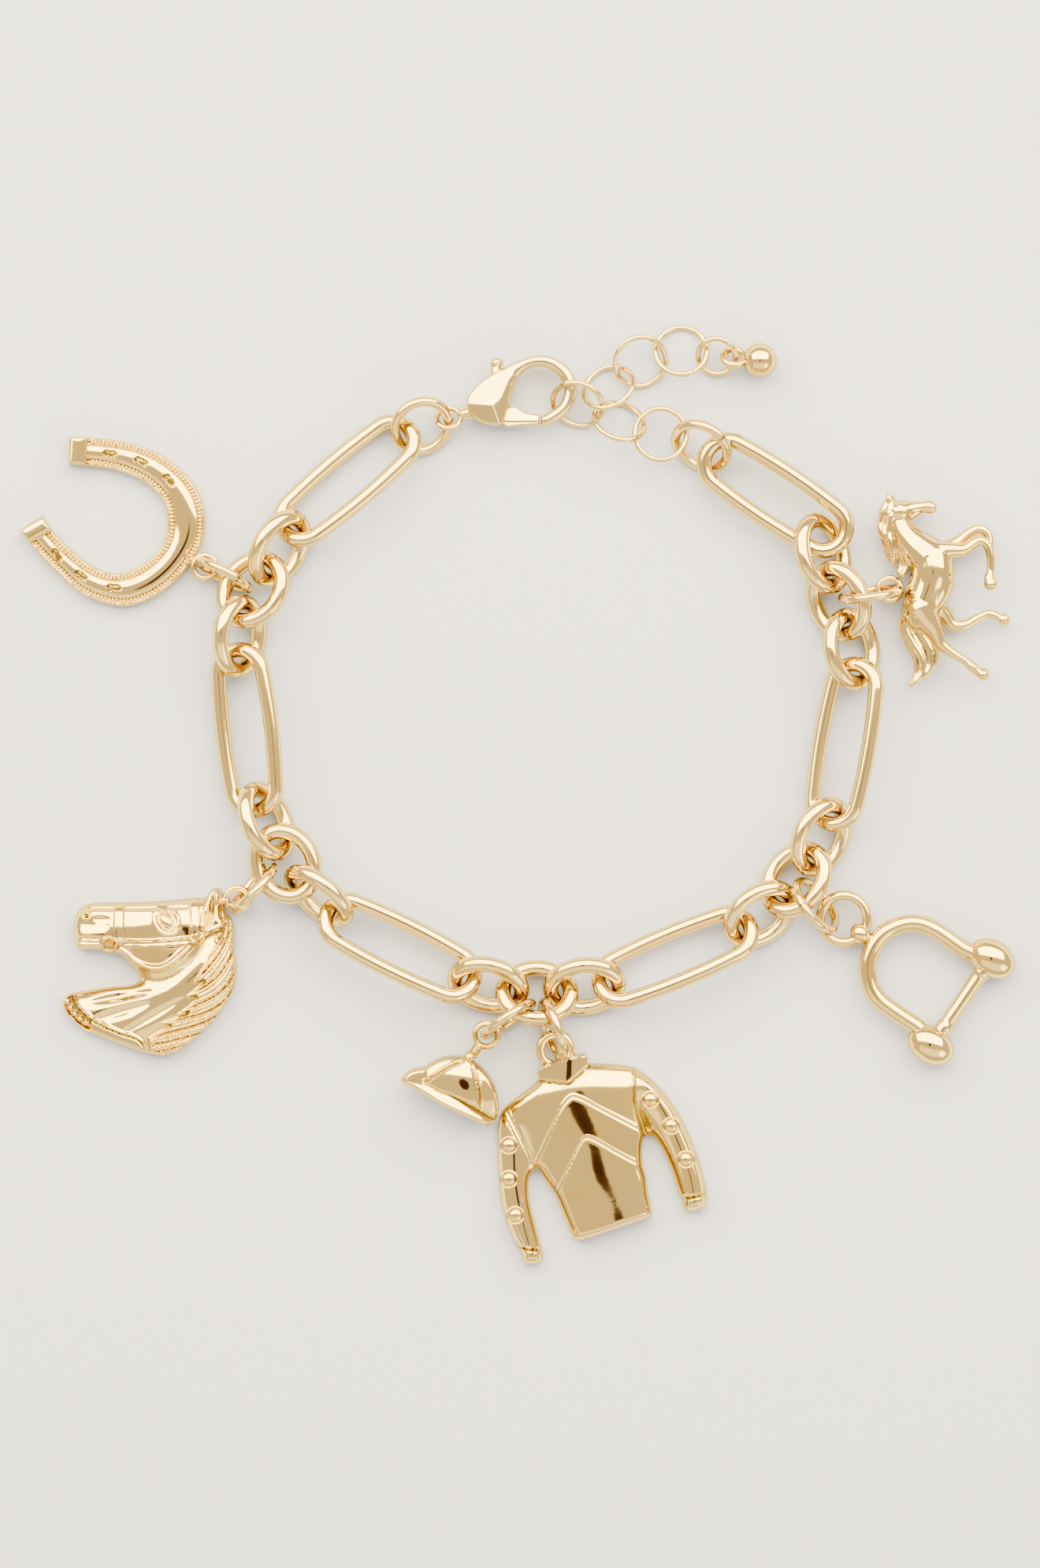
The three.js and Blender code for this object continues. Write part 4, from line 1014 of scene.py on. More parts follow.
def undulation(points, span, height):
    """The slight unevenness of a hand-finished surface, as a few crossed waves."""
    x, y = (points / span).T
    waves = np.sin(2.1 * x + 0.7 * y) + np.sin(1.3 * y - 1.7 * x + 1.9) + np.sin(2.9 * y + 0.6 * x + 0.4)
    return height * waves / 3


def soft_round(points, centre, radius, height):
    """A wide, gentle round swelling."""
    far = np.hypot(*(points - np.array(centre)).T) / radius
    return height * (0.5 + 0.5 * np.cos(math.pi * np.minimum(far, 1)))


def region(points, outline, blend):
    """A smooth 0 to 1 mask of a closed outline."""
    far, _ = path_distance(points, outline, closed=True)
    return ramp(np.where(inside(points, outline), far, -far), -blend, blend)


def piping(points, path, apart, height):
    """Two fine raised lines along a path with a groove between them."""
    far, _ = path_distance(points, smooth_path(path, closed=False, per_span=6))
    ridge = height * np.exp(-((far - apart) / 0.08) ** 2)
    return ridge - 1.1 * height * np.exp(-(far / 0.10) ** 2)


def round_bump(points, centre, radius, height):
    """A round dome."""
    far = np.hypot(*(points - np.array(centre)).T) / radius
    return height * np.sqrt(np.clip(1 - far**2, 0, 1))


def ring_bump(points, centre, radius, half, height):
    """A round ring standing on the surface."""
    far = np.abs(np.hypot(*(points - np.array(centre)).T) - radius) / half
    return height * np.sqrt(np.clip(1 - far**2, 0, 1))


# Horse head

HEAD_OUTLINE = [
    (-6.3, 6.5), (-7.0, 5.9), (-7.35, 5.0), (-7.45, 4.0), (-7.4, 3.3), (-7.35, 2.85), (-7.1, 2.25),
    (-6.5, 1.95), (-4.6, 1.85), (-3.9, 1.5), (-2.8, 1.4), (-1.8, 0.4), (-1.0, -0.3), (-0.7, -0.9),
    (-1.0, -1.4), (-1.9, -1.7), (-3.9, -1.85), (-5.9, -2.15), (-7.5, -2.4), (-8.4, -2.9), (-8.55, -3.4),
    (-8.4, -4.2), (-7.7, -5.1), (-6.5, -6.1), (-5.2, -6.7), (-3.2, -7.5), (-1.2, -8.2), (0.0, -8.6),
    (1.4, -8.8), (2.7, -8.6), (4.1, -7.8), (5.4, -6.7),
    (6.7, -5.4), (7.9, -3.9), (8.6, -2.7), (9.0, -1.7), (9.2, 0.3), (9.0, 1.6), (9.0, 3.6),
    (8.7, 5.0), (8.05, 5.9), (7.9, 7.2), (7.6, 8.0), (7.1, 8.3), (6.5, 8.0), (5.9, 7.3), (4.7, 7.3),
    (3.4, 7.1), (0.7, 6.9), (-2.0, 6.8), (-5.2, 6.75),
]
SKULL = [
    (-9.5, 9.0, 1), (-9.5, 0.8, 1), (-2.6, 1.0), (-1.5, 0.2), (-0.4, -0.75), (1.0, -1.2), (2.6, -0.8),
    (3.9, 0.1), (5.2, 1.4), (6.0, 2.8), (6.1, 4.6), (5.7, 9.0, 1),
]
NOSEBAND = [(-2.7, 6.9), (-2.72, 5.0), (-2.75, 3.2)]
CHEEK_STRAP = [(-2.7, 2.72), (0.0, 2.62), (2.5, 2.75), (4.9, 2.97)]
JAW_STRAP = [
    (-2.6, 1.95), (-2.0, 1.55), (-1.3, 0.9), (0.0, 0.25), (1.3, 0.12), (2.35, 0.5), (3.65, 1.54), (4.7, 2.6),
]
CHEEKPIECE = [(4.85, 6.9), (5.05, 4.9), (4.95, 3.1)]
THROAT_STRAP = [(5.3, 3.1), (6.4, 3.7), (7.7, 4.3)]
BAND_RIM = [(-7.5, -2.2), (-7.1, -3.3), (-6.6, -4.0), (-5.2, -5.15), (-2.6, -6.35), (-0.7, -7.1), (0.5, -8.9)]
BAND_BEADS = [(-8.05, -3.3), (-7.68, -4.0), (-7.22, -4.57), (-6.7, -5.05), (-6.1, -5.45)]
BAND_BEAD_HEIGHT = 1.3
POLL = [(6.1, 4.4), (6.6, 7.4), (7.3, 6.2), (8.6, 5.6), (8.9, 3.4), (8.0, 2.4), (6.6, 3.4)]
EAR = [
    (5.65, 3.9), (5.75, 5.6), (6.1, 7.2), (6.55, 8.1), (7.05, 8.5), (7.5, 8.1), (7.85, 7.0), (8.3, 5.8),
    (8.0, 4.6), (6.9, 3.9),
]
# The mane's combing lines, from the poll down, each from the crest to the tip of its lock.
MANE_LINES = [
    [(8.3, 5.6), (8.5, 4.2), (7.9, 2.4), (6.9, 0.9), (5.1, -1.2)],
    [(9.0, 3.6), (8.8, 1.8), (7.7, -0.2), (6.3, -1.5), (4.5, -2.5)],
    [(9.2, 1.2), (8.8, -0.8), (7.3, -2.5), (5.6, -3.4), (3.5, -4.3)],
    [(9.1, -0.9), (8.2, -2.9), (6.4, -4.2), (4.0, -4.9), (2.0, -5.4)],
    [(8.5, -3.1), (7.0, -4.8), (4.9, -5.7), (2.6, -6.3), (0.6, -6.9)],
    [(7.2, -5.1), (5.6, -6.4), (3.9, -6.9), (2.2, -7.3), (0.7, -7.6)],
    [(5.6, -6.8), (4.4, -7.6), (3.2, -7.9), (2.0, -8.2), (0.9, -8.4)],
]
MANE_EDGE = [
    (8.6, 5.7), (8.1, 4.6), (7.5, 3.0), (6.4, 1.0), (5.0, -1.3, 1), (6.0, -1.1), (5.5, -1.7), (4.3, -2.7, 1),
    (5.3, -2.8), (4.6, -3.6), (3.3, -4.6, 1), (4.4, -4.3), (3.2, -4.9), (1.6, -5.5, 1), (2.6, -5.7),
    (1.4, -6.3), (0.3, -7.0, 1), (0.5, -8.7, 1), (3.0, -9.5, 1), (10.0, -6.0, 1), (10.2, 6.4, 1),
]


def mane_height(points):
    """Long strands combed between the mane's lines, gathered into one rounded lock from line to line."""
    far = []
    sides = []
    for path in MANE_LINES:
        line = smooth_path(path, closed=False, per_span=6)
        lean = np.gradient(line, axis=0)
        steps = np.concatenate([[0], np.cumsum(np.linalg.norm(np.diff(line, axis=0), axis=1))])
        gap, along = path_distance(points, line)
        spot = np.column_stack([np.interp(along, steps, line[:, i]) for i in (0, 1)])
        way = np.column_stack([np.interp(along, steps, lean[:, i]) for i in (0, 1)])
        away = points - spot
        sides.append(way[:, 0] * away[:, 1] - way[:, 1] * away[:, 0] > 0)
        far.append(gap)
    level = np.zeros(len(points))
    for i in range(len(MANE_LINES) - 1):
        between = sides[i] & ~sides[i + 1]
        share = far[i] / np.maximum(far[i] + far[i + 1], 1e-6)
        level = np.where(between, i + share, level)
    last = len(MANE_LINES) - 1
    level = np.where(sides[last], last + np.minimum(far[last], 0.99), level)
    level = np.where(~sides[0], -np.minimum(far[0], 0.99), level)
    lock = np.sqrt(np.clip(np.sin(math.pi * (level % 1)), 0, 1))
    strands = np.abs(np.sin(math.pi * 3 * level))**0.8
    return 0.12 + 0.30 * lock + 0.20 * strands


def horse_head_top(points, depth):
    """The head with its bridle stands above the neck; the mane lies over both."""
    x, y = points[:, 0], points[:, 1]
    skull_line = smooth_path(SKULL)
    to_skull, _ = path_distance(points, skull_line, closed=True)
    in_skull = inside(points, skull_line)
    rise = np.where(in_skull, dome(to_skull, 0, 1, 1.3), 0)
    z = dome(depth, 0.7, 1.95, 1.5)
    # Neck muscles: long soft valleys with light between them.
    neck = 1 - rise
    z -= neck * spindle(points, (-6.2, -3.45), (0.9, -2.2), 0.50, 0.44)
    z -= neck * spindle(points, (-6.0, -5.4), (0.6, -3.35), 0.52, 0.42)
    z -= neck * spindle(points, (-2.8, -6.8), (3.9, -2.9), 0.34, 0.18)
    z += neck * soft_line(points, [(-1.0, -2.9), (2.6, -1.9), (5.6, 0.6)], 1.9, 0.16)
    z += neck * soft_line(points, [(-8.0, -4.6), (-3.0, -4.9), (2.0, -3.4), (6.5, 0.5)], 4.2, 0.55)
    # Skull: round across, fullest at the jaw.
    z += rise * (0.42 + 0.30 * dome(np.minimum(depth, 3.0), 0, 1, 3.0))
    z += rise * soft_round(points, (2.2, 1.1), 3.6, 0.35)
    z += rise * soft_round(points, (1.9, 5.0), 3.4, 0.14)
    z -= rise * 0.035 * np.clip(y - 3.3, 0, None)**2
    z -= soft_line(points, [(-5.8, 6.15), (-3.4, 6.15)], 0.26, 0.14)
    z -= soft_line(points, [(-2.0, 6.15), (1.0, 6.2), (4.2, 6.3)], 0.28, 0.16)
    # Muzzle.
    z += ring_bump(points, (-6.04, 5.45), 0.36, 0.15, 0.20)
    z -= round_bump(points, (-6.04, 5.45), 0.26, 0.3)
    z -= spindle(points, (-5.5, 5.15), (-3.5, 5.05), 0.34, 0.16)
    z -= spindle(points, (-7.6, 4.45), (-3.6, 4.4), 0.80, 0.20)
    z += spindle(points, (-7.4, 3.75), (-4.2, 3.7), 0.50, 0.14)
    z -= spindle(points, (-8.4, 3.25), (-4.3, 3.05), 0.16, 0.26)
    z -= spindle(points, (-8.0, 2.85), (-4.3, 2.72), 0.13, 0.16)
    z += soft_line(points, [(-7.0, 2.4), (-5.6, 2.3), (-4.7, 2.4)], 0.42, 0.14)
    # Eye, set aslant in its lids.
    along, across = local_axes(points, (2.05, 4.9), -52)
    ball = np.sqrt(np.clip(1 - (along / 0.90)**2 - (across / 0.50)**2, 0, 1))
    z += 0.30 * ball
    for wide, tall, height in ((1.10, 0.74, 0.18), (1.45, 1.12, 0.13)):
        ring = np.hypot(along / wide, across / tall) - 1
        z += height * np.exp(-(ring / 0.12)**2)
    z += soft_line(points, [(2.7, 6.0), (3.35, 5.3), (3.4, 4.3)], 0.26, 0.16)
    # Ear.
    ear = smooth_path(EAR)
    far, _ = path_distance(points, ear, closed=True)
    inner = np.where(inside(points, ear), far, 0)
    z += 0.62 * dome(inner, 0, 1, 0.55)
    z -= spindle(points, (6.25, 3.9), (6.95, 8.3), 0.34, 0.62)
    z -= spindle(points, (7.9, 4.6), (7.25, 7.6), 0.16, 0.20)
    # Bridle.
    z += line_bump(points, NOSEBAND, 0.52, 0.20, 0.12)
    z += line_bump(points, CHEEKPIECE, 0.46, 0.20, 0.12)
    z += line_bump(points, CHEEK_STRAP, 0.36, 0.20, 0.10)
    z += soft_line(points, JAW_STRAP, 0.50, 0.36)
    z += soft_line(points, THROAT_STRAP, 0.45, 0.32)
    z += ring_bump(points, (7.45, 3.05), 0.34, 0.16, 0.20)
    z += ring_bump(points, (-3.7, 2.52), 0.70, 0.20, 0.55)
    z -= round_bump(points, (-3.7, 2.52), 0.52, 0.35)
    z += round_bump(points, (4.95, 2.97), 0.60, 0.55)
    # Mane.
    z += region(points, smooth_path(MANE_EDGE, per_span=5), 0.14) * mane_height(points)
    # Band round the base of the neck, left bare but for a row of beads.
    rim = smooth_path(BAND_RIM, closed=False)
    far, _ = path_distance(points, rim)
    below = inside(points, np.concatenate([rim, [(-3, -11), (-12, -9), (-12, -2)]]))
    floor = 0.95 + 0.35 * np.exp(-((depth - 0.18) / 0.16)**2)
    bar = 1.05 + 0.60 * dome(np.minimum(depth, far), 0, 1, 0.5)
    floor = floor + (bar - floor) * ramp(x, -5.95, -5.45)
    z = np.where(below, floor + (z - floor) * (1 - ramp(far, 0.02, 0.18)), z)
    z += 0.22 * np.exp(-(far / 0.17)**2)
    return z


class BRACELET_OT_horse_head(bpy.types.Operator):
    """Makes the horse head with its bridle, mane and eye"""

    bl_idname = "bracelet.horse_head"
    bl_label = "Horse head"

    def execute(self, context):
        place = placed("horse_head")
        head = relief_mesh("horse_head_cast", [smooth_path(HEAD_OUTLINE)], place, 0.09,
                           horse_head_top, lift=BACK_LIFT)
        mane = smooth_path(MANE_EDGE, per_span=5)
        poll = smooth_path(POLL)
        # Painted shade: the mane and the poll behind the ear are drawn a darker gold.
        paint_shade_inside(head, place, [
            (lambda plan: region(plan, mane, 0.2), 0.30), (lambda plan: region(plan, poll, 0.5), 0.55)])
        eye = charm_eye("horse_head_eye", place + (9.25, 7.1), 20)
        neck = sweep("horse_head_neck", [at(place, 7.2, 6.8, 1.2), at(place, 8.1, 7.0, 1.5)], [0.6, 0.42])
        finish_piece(merged("horse_head", [head, eye, neck]), "charm_gold", ["horse_head"])
        sizes = context.scene.bracelet_charms
        bead_rows("horse_head_beads", [smooth_path(BAND_BEADS, closed=False) + place], BAND_BEAD_HEIGHT,
                  sizes.band_pitch, sizes.band_bead)
        return {"FINISHED"}


# Racing jersey

JERSEY_OUTLINE = [
    (-6.7, 7.3), (-6.3, 7.85), (-4.2, 8.7), (-1.9, 9.15), (-1.45, 8.8), (-1.3, 8.15, 1), (0.8, 8.05),
    (2.8, 7.8), (4.1, 7.2), (6.0, 5.5),
    (7.7, 3.2), (9.1, 0.3), (10.1, -2.5), (10.6, -4.8), (10.65, -6.2), (10.0, -6.75),
    (8.8, -7.0), (8.2, -6.6), (8.1, -5.7), (7.8, -5.4), (6.8, -2.5), (5.7, -0.1), (5.1, 0.65), (4.45, 0.75),
    (4.1, 0.1), (4.15, -2.2), (4.5, -3.4), (4.7, -5.0), (5.1, -7.2), (4.9, -7.6), (2.4, -8.5), (-0.2, -9.4),
    (-2.4, -10.0), (-2.9, -9.8), (-3.9, -7.6), (-4.8, -5.5), (-5.9, -3.7), (-6.6, -2.7), (-7.1, -2.9),
    (-7.5, -3.8), (-7.4, -5.8), (-6.9, -7.9), (-6.3, -10.2), (-6.0, -11.6), (-6.4, -12.2), (-7.4, -12.4),
    (-8.1, -12.1), (-8.3, -11.3), (-8.6, -10.7), (-9.5, -9.0), (-10.3, -6.3), (-10.6, -3.3), (-10.7, -0.1),
    (-10.5, 2.5), (-9.8, 3.7), (-6.9, 6.1), (-6.6, 6.6),
]
COLLAR = [
    (-6.9, 7.3, 1), (-6.3, 8.1, 1), (-4.2, 8.9), (-1.9, 9.4, 1), (-1.2, 8.7, 1), (-1.35, 8.0, 1),
    (-3.5, 6.1, 1), (-6.6, 6.45, 1),
]
CHEVRONS = [
    [(-6.77, -1.77, 1), (-4.66, 2.74), (-3.75, 4.2), (-2.9, 4.75), (-0.3, 3.5), (3.8, 1.34, 1)],
    [(-4.8, -5.2, 1), (-3.7, -2.86), (-2.1, 0.3), (-1.4, 0.6), (1.25, -0.84), (4.15, -2.4, 1)],
]
COLLAR_FOLD = -3.4
SLEEVE_TOPS = (2.30, 2.70)
SLEEVES = [
    [(-8.8, 3.4), (-9.0, 0.0), (-8.9, -3.6), (-8.3, -7.2), (-7.1, -11.8)],
    [(4.6, 5.7), (6.4, 3.0), (7.75, 0.0), (8.9, -3.2), (9.5, -6.4)],
]
RAGLANS = [
    [(3.1, 7.7), (3.27, 4.3), (4.1, 0.9)],
    [(-9.9, 3.5), (-8.4, 0.56), (-6.9, -2.6)],
]
BUTTONS = [(4.83, 4.45), (6.93, 1.8), (8.45, -1.6), (-9.55, -0.2), (-9.55, -3.64), (-8.87, -7.3)]
BUTTON_SINK = 0.03
CUFFS = [[(-9.2, -10.5), (-7.4, -10.75), (-5.8, -10.95)], [(7.6, -5.75), (9.2, -5.4), (11.0, -5.0)]]


def racing_jersey_top(points, depth):
    """A padded shirt: torso round across its length, round sleeves, piping and collar."""
    along, across = local_axes(points, (-3.8, 7.6), -70.4)
    torso = 2.95 - 0.027 * across**2 - 0.036 * np.clip(4.0 - along, 0, None)**2
    torso += undulation(points, 2.6, 0.032)
    left_far, right_far = (path_distance(points, smooth_path(line, closed=False))[0] for line in SLEEVES)
    left_top = SLEEVE_TOPS[0] - 0.055 * np.clip(points[:, 1] + 6.0, 0, None) - 0.20 * left_far**2
    sleeve = np.where(points[:, 0] < 0, left_top, SLEEVE_TOPS[1] - 0.24 * right_far**2)
    raglans = [smooth_path(line, closed=False) for line in RAGLANS]
    right = np.concatenate([raglans[0], [(5.6, 0.0), (6.5, -14), (14, -14), (14, 9)]])
    left = np.concatenate([raglans[1], [(-6.6, -6), (-4.9, -10), (-4.9, -14), (-14, -14), (-14, 5)]])
    arms = np.maximum(region(points, right, 0.30), region(points, left, 0.70))
    top = torso + (sleeve - torso) * arms
    z = dome(depth, 0.9, top, 0.9)
    for line in RAGLANS:
        z += piping(points, line, 0.20, 0.06)
    for line in CHEVRONS:
        z += piping(points, line, 0.20, 0.045)
    for line in CUFFS:
        z -= soft_line(points, line, 0.24, 0.45)
    # Collar: two flat leaves that meet in a fold.
    collar = smooth_path(COLLAR)
    far, _ = path_distance(points, collar, closed=True)
    x, y = points[:, 0], points[:, 1]
    off = x - COLLAR_FOLD - 0.05 * (y - 7.4)
    leaf = 3.35 - 0.10 * np.clip(-off - 0.3, 0, None) - 0.16 * np.clip(off - 0.3, 0, None)
    raised = np.minimum(leaf, dome(depth, 1.2, 3.8, 0.5))
    z = z + (np.maximum(raised, z) - z) * region(points, collar, 0.10)
    z -= 0.14 * np.exp(-(far / 0.12)**2)
    return z


def button_tree():
    """Geometry nodes: a domed button with a rolled rim on each point."""
    tree, given = begin_tree("domed_buttons", ("Dome", "Height", "Rim", "Wire"))
    ball = node(tree, "GeometryNodeMeshUVSphere", {"Segments": 40, "Rings": 24, "Radius": 1.0})
    size = node(tree, "ShaderNodeCombineXYZ", {
        "X": given["Dome"], "Y": given["Dome"], "Z": given["Height"]})
    dome_part = node(tree, "GeometryNodeTransform", {
        "Geometry": ball.outputs["Mesh"], "Scale": size.outputs[0]})
    circle = node(tree, "GeometryNodeCurvePrimitiveCircle", {"Resolution": 48, "Radius": given["Rim"]})
    profile = node(tree, "GeometryNodeCurvePrimitiveCircle", {"Resolution": 14, "Radius": given["Wire"]})
    rim = node(tree, "GeometryNodeCurveToMesh", {
        "Curve": circle.outputs["Curve"], "Profile Curve": profile.outputs["Curve"]})
    both = tree.nodes.new("GeometryNodeJoinGeometry")
    tree.links.new(dome_part.outputs[0], both.inputs[0])
    tree.links.new(rim.outputs[0], both.inputs[0])
    spread = node(tree, "GeometryNodeInstanceOnPoints", {
        "Points": given["Geometry"], "Instance": both.outputs[0]})
    return end_tree(tree, given, spread)


class BRACELET_OT_racing_jersey(bpy.types.Operator):
    """Makes the racing jersey with its collar, piping, buttons and eye"""

    bl_idname = "bracelet.racing_jersey"
    bl_label = "Racing jersey"

    def execute(self, context):
        place = placed("racing_jersey")
        shirt = relief_mesh("racing_jersey_cast", [smooth_path(JERSEY_OUTLINE)], place, 0.115,
                            racing_jersey_top, lift=BACK_LIFT)
        eye = eye_loop("racing_jersey_eye", place + (-4.8, 9.55), 4.0, 0.85, EYE_HEIGHT, 108)
        finish_piece(merged("racing_jersey", [shirt, eye]), "charm_gold", ["racing_jersey"])
        middles = [at(place, x, y, SLEEVE_TOPS[int(x > 0)] - BUTTON_SINK) for x, y in BUTTONS]
        seeds = bpy.data.meshes.new("jersey_buttons")
        seeds.from_pydata([tuple(np.array(middle) * MM) for middle in middles], [], [])
        sizes = context.scene.bracelet_charms
        buttons = grown("jersey_buttons", seeds, button_tree, {
            "Dome": sizes.button_dome, "Height": sizes.button_height, "Rim": sizes.button_rim,
            "Wire": sizes.button_wire, "Plate": material("charm_gold")})
        finish_piece(buttons, "charm_gold", [])
        return {"FINISHED"}


# Jockey cap

CAP_OUTLINE = [
    (-5.75, 1.15), (-5.4, 1.75), (-4.75, 2.26), (-3.9, 2.5), (-3.3, 2.6), (-2.6, 3.1), (-1.5, 3.6),
    (-0.26, 3.75), (0.9, 3.65),
    (1.6, 3.3), (2.3, 2.8), (3.3, 1.8), (3.95, 0.7), (4.23, -0.5), (4.25, -1.7), (4.0, -2.7),
    (3.45, -3.35), (2.8, -3.45), (1.6, -2.95), (-0.2, -2.15), (-2.0, -1.25), (-3.5, -0.3), (-4.75, 0.4),
    (-5.5, 0.8),
]
CAP_BAND = [(-5.6, 1.15), (-3.4, 0.8), (-1.9, 0.1), (-0.26, -0.5), (1.86, -1.6), (3.0, -2.3), (4.5, -3.2)]
CAP_SEAMS = [
    [(1.0, 3.4), (-0.67, 2.75), (-1.9, 2.0), (-3.3, 1.0)],
    [(1.5, 2.9), (2.0, 1.5), (2.27, 0.3), (2.35, -0.9), (2.1, -2.3)],
]
CAP_MIDDLE = 2.6


def cap_half(points, depth):
    """Half the cap's thickness: a round crown in panels over a band that runs out into the peak."""
    along, across = local_axes(points, (0.7, 0.6), -25.5)
    crown = 2.35 * np.sqrt(np.clip(1 - (along / 5.6)**2 - (across / 4.4)**2, 0, 1))
    band_line = smooth_path(CAP_BAND, closed=False)
    far, _ = path_distance(points, band_line)
    below = inside(points, np.concatenate([band_line, [(5, -6), (-8, -6), (-8, 1)]]))
    band = 1.72 - 0.05 * (points[:, 0] + 1.5)**2 + 0.30 * far
    crown -= 0.25 * np.exp(-(far / 0.14)**2)
    half = np.where(below, band, crown)
    peak = inside(points, np.array([(-7, 3.4), (-3.55, 2.9), (-3.05, 1.9), (-3.4, 0.8), (-7, 1.2)]))
    half = np.where(peak, 1.05 + 0.25 * (points[:, 0] + 4.6), half)
    for line in CAP_SEAMS:
        half += piping(points, line, 0.17, 0.13) * ~below
    return half * dome(depth, 0, 1, 0.55) * 0.96 + 0.04


class BRACELET_OT_jockey_cap(bpy.types.Operator):
    """Makes the jockey cap with its panels, peak, button and eye"""

    bl_idname = "bracelet.jockey_cap"
    bl_label = "Jockey cap"

    def execute(self, context):
        place = placed("jockey_cap")
        cap = relief_mesh("jockey_cap_cast", [smooth_path(CAP_OUTLINE)], place, 0.09,
                          lambda points, depth: CAP_MIDDLE + cap_half(points, depth),
                          lambda points, depth: CAP_MIDDLE - cap_half(points, depth))
        button = blob("jockey_cap_button", at(place, 1.3, 3.5, CAP_MIDDLE + 0.55), (0.60, 0.60, 0.60))
        # The stem is a short twist of wire that swells and narrows three and a half times.
        shares = np.linspace(0, 1, 61)
        stem_path = [at(place, 1.55 + 0.65 * t, 3.75 + 0.85 * t, CAP_MIDDLE) for t in shares]
        stem = sweep("jockey_cap_stem", stem_path, 0.50 + 0.10 * np.cos(2 * math.pi * 3.5 * shares))
        eye = charm_eye("jockey_cap_eye", place + (3.0, 5.75), 60, CAP_MIDDLE)
        finish_piece(merged("jockey_cap", [cap, button, stem, eye]), "charm_gold", ["jockey_cap"])
        return {"FINISHED"}


# Shackle

BOW = [
    (9.0, 1.0), (8.1, 1.2), (6.95, 1.72), (5.6, 2.65), (4.33, 3.5), (3.04, 4.1), (1.76, 4.3), (0.36, 4.0),
    (-1.03, 3.25), (-2.0, 2.1), (-2.58, 0.6), (-2.68, -0.8), (-2.3, -2.3), (-1.46, -3.55), (-0.06, -4.64),
    (1.22, -5.5), (2.4, -6.3), (3.3, -7.3),
]
BOW_HEIGHT = 1.85
EYE_LEVEL = 1.7


def flat_run(line, height):
    """A plan line in mm carried up to one height."""
    return np.column_stack([line, np.full(len(line), height)])


class BRACELET_OT_shackle(bpy.types.Operator):
    """Makes the bit ring: a bow, two rounded ends, a bar, and its eye"""

    bl_idname = "bracelet.shackle"
    bl_label = "Shackle"

    def execute(self, context):
        place = placed("shackle")
        line = smooth_path(BOW, closed=False) + place
        pieces = [sweep("shackle_bow", flat_run(line, BOW_HEIGHT), 0.90, sides=32)]
        for x, y in ((10.0, 0.65), (3.75, -8.1)):
            pieces.append(blob("shackle_end", at(place, x, y, BOW_HEIGHT), (2.55, 1.92, 1.84), -33, 64, 40))
        low = np.array(at(place, 4.5, -7.2, BOW_HEIGHT))
        high = np.array(at(place, 9.3, -0.2, BOW_HEIGHT))
        shares = np.linspace(0, 1, 40)
        collar = 0.80 + 0.12 * (ramp(-shares, -0.2, -0.15) + ramp(shares, 0.86, 0.9))
        pieces.append(sweep("shackle_bar", [low + (high - low) * t for t in shares], collar, sides=32))
        pieces.append(blob("shackle_joint", at(place, -3.4, 3.2, EYE_LEVEL), (1.15, 1.0, 1.05), 135))
        pieces.append(eye_loop("shackle_eye", place + (-5.1, 4.7), 5.8, 1.0, EYE_LEVEL, sides=24, around=72))
        finish_piece(merged("shackle", pieces), "charm_gold", ["shackle"])
        return {"FINISHED"}


# Running horse

HORSE_MIDDLE = 2.0
# The relaxing of the fused skin thins the limbs, so they are drawn this much thicker.
LIMB_SHARE = 1.16
FLOOR_GAP = 0.03
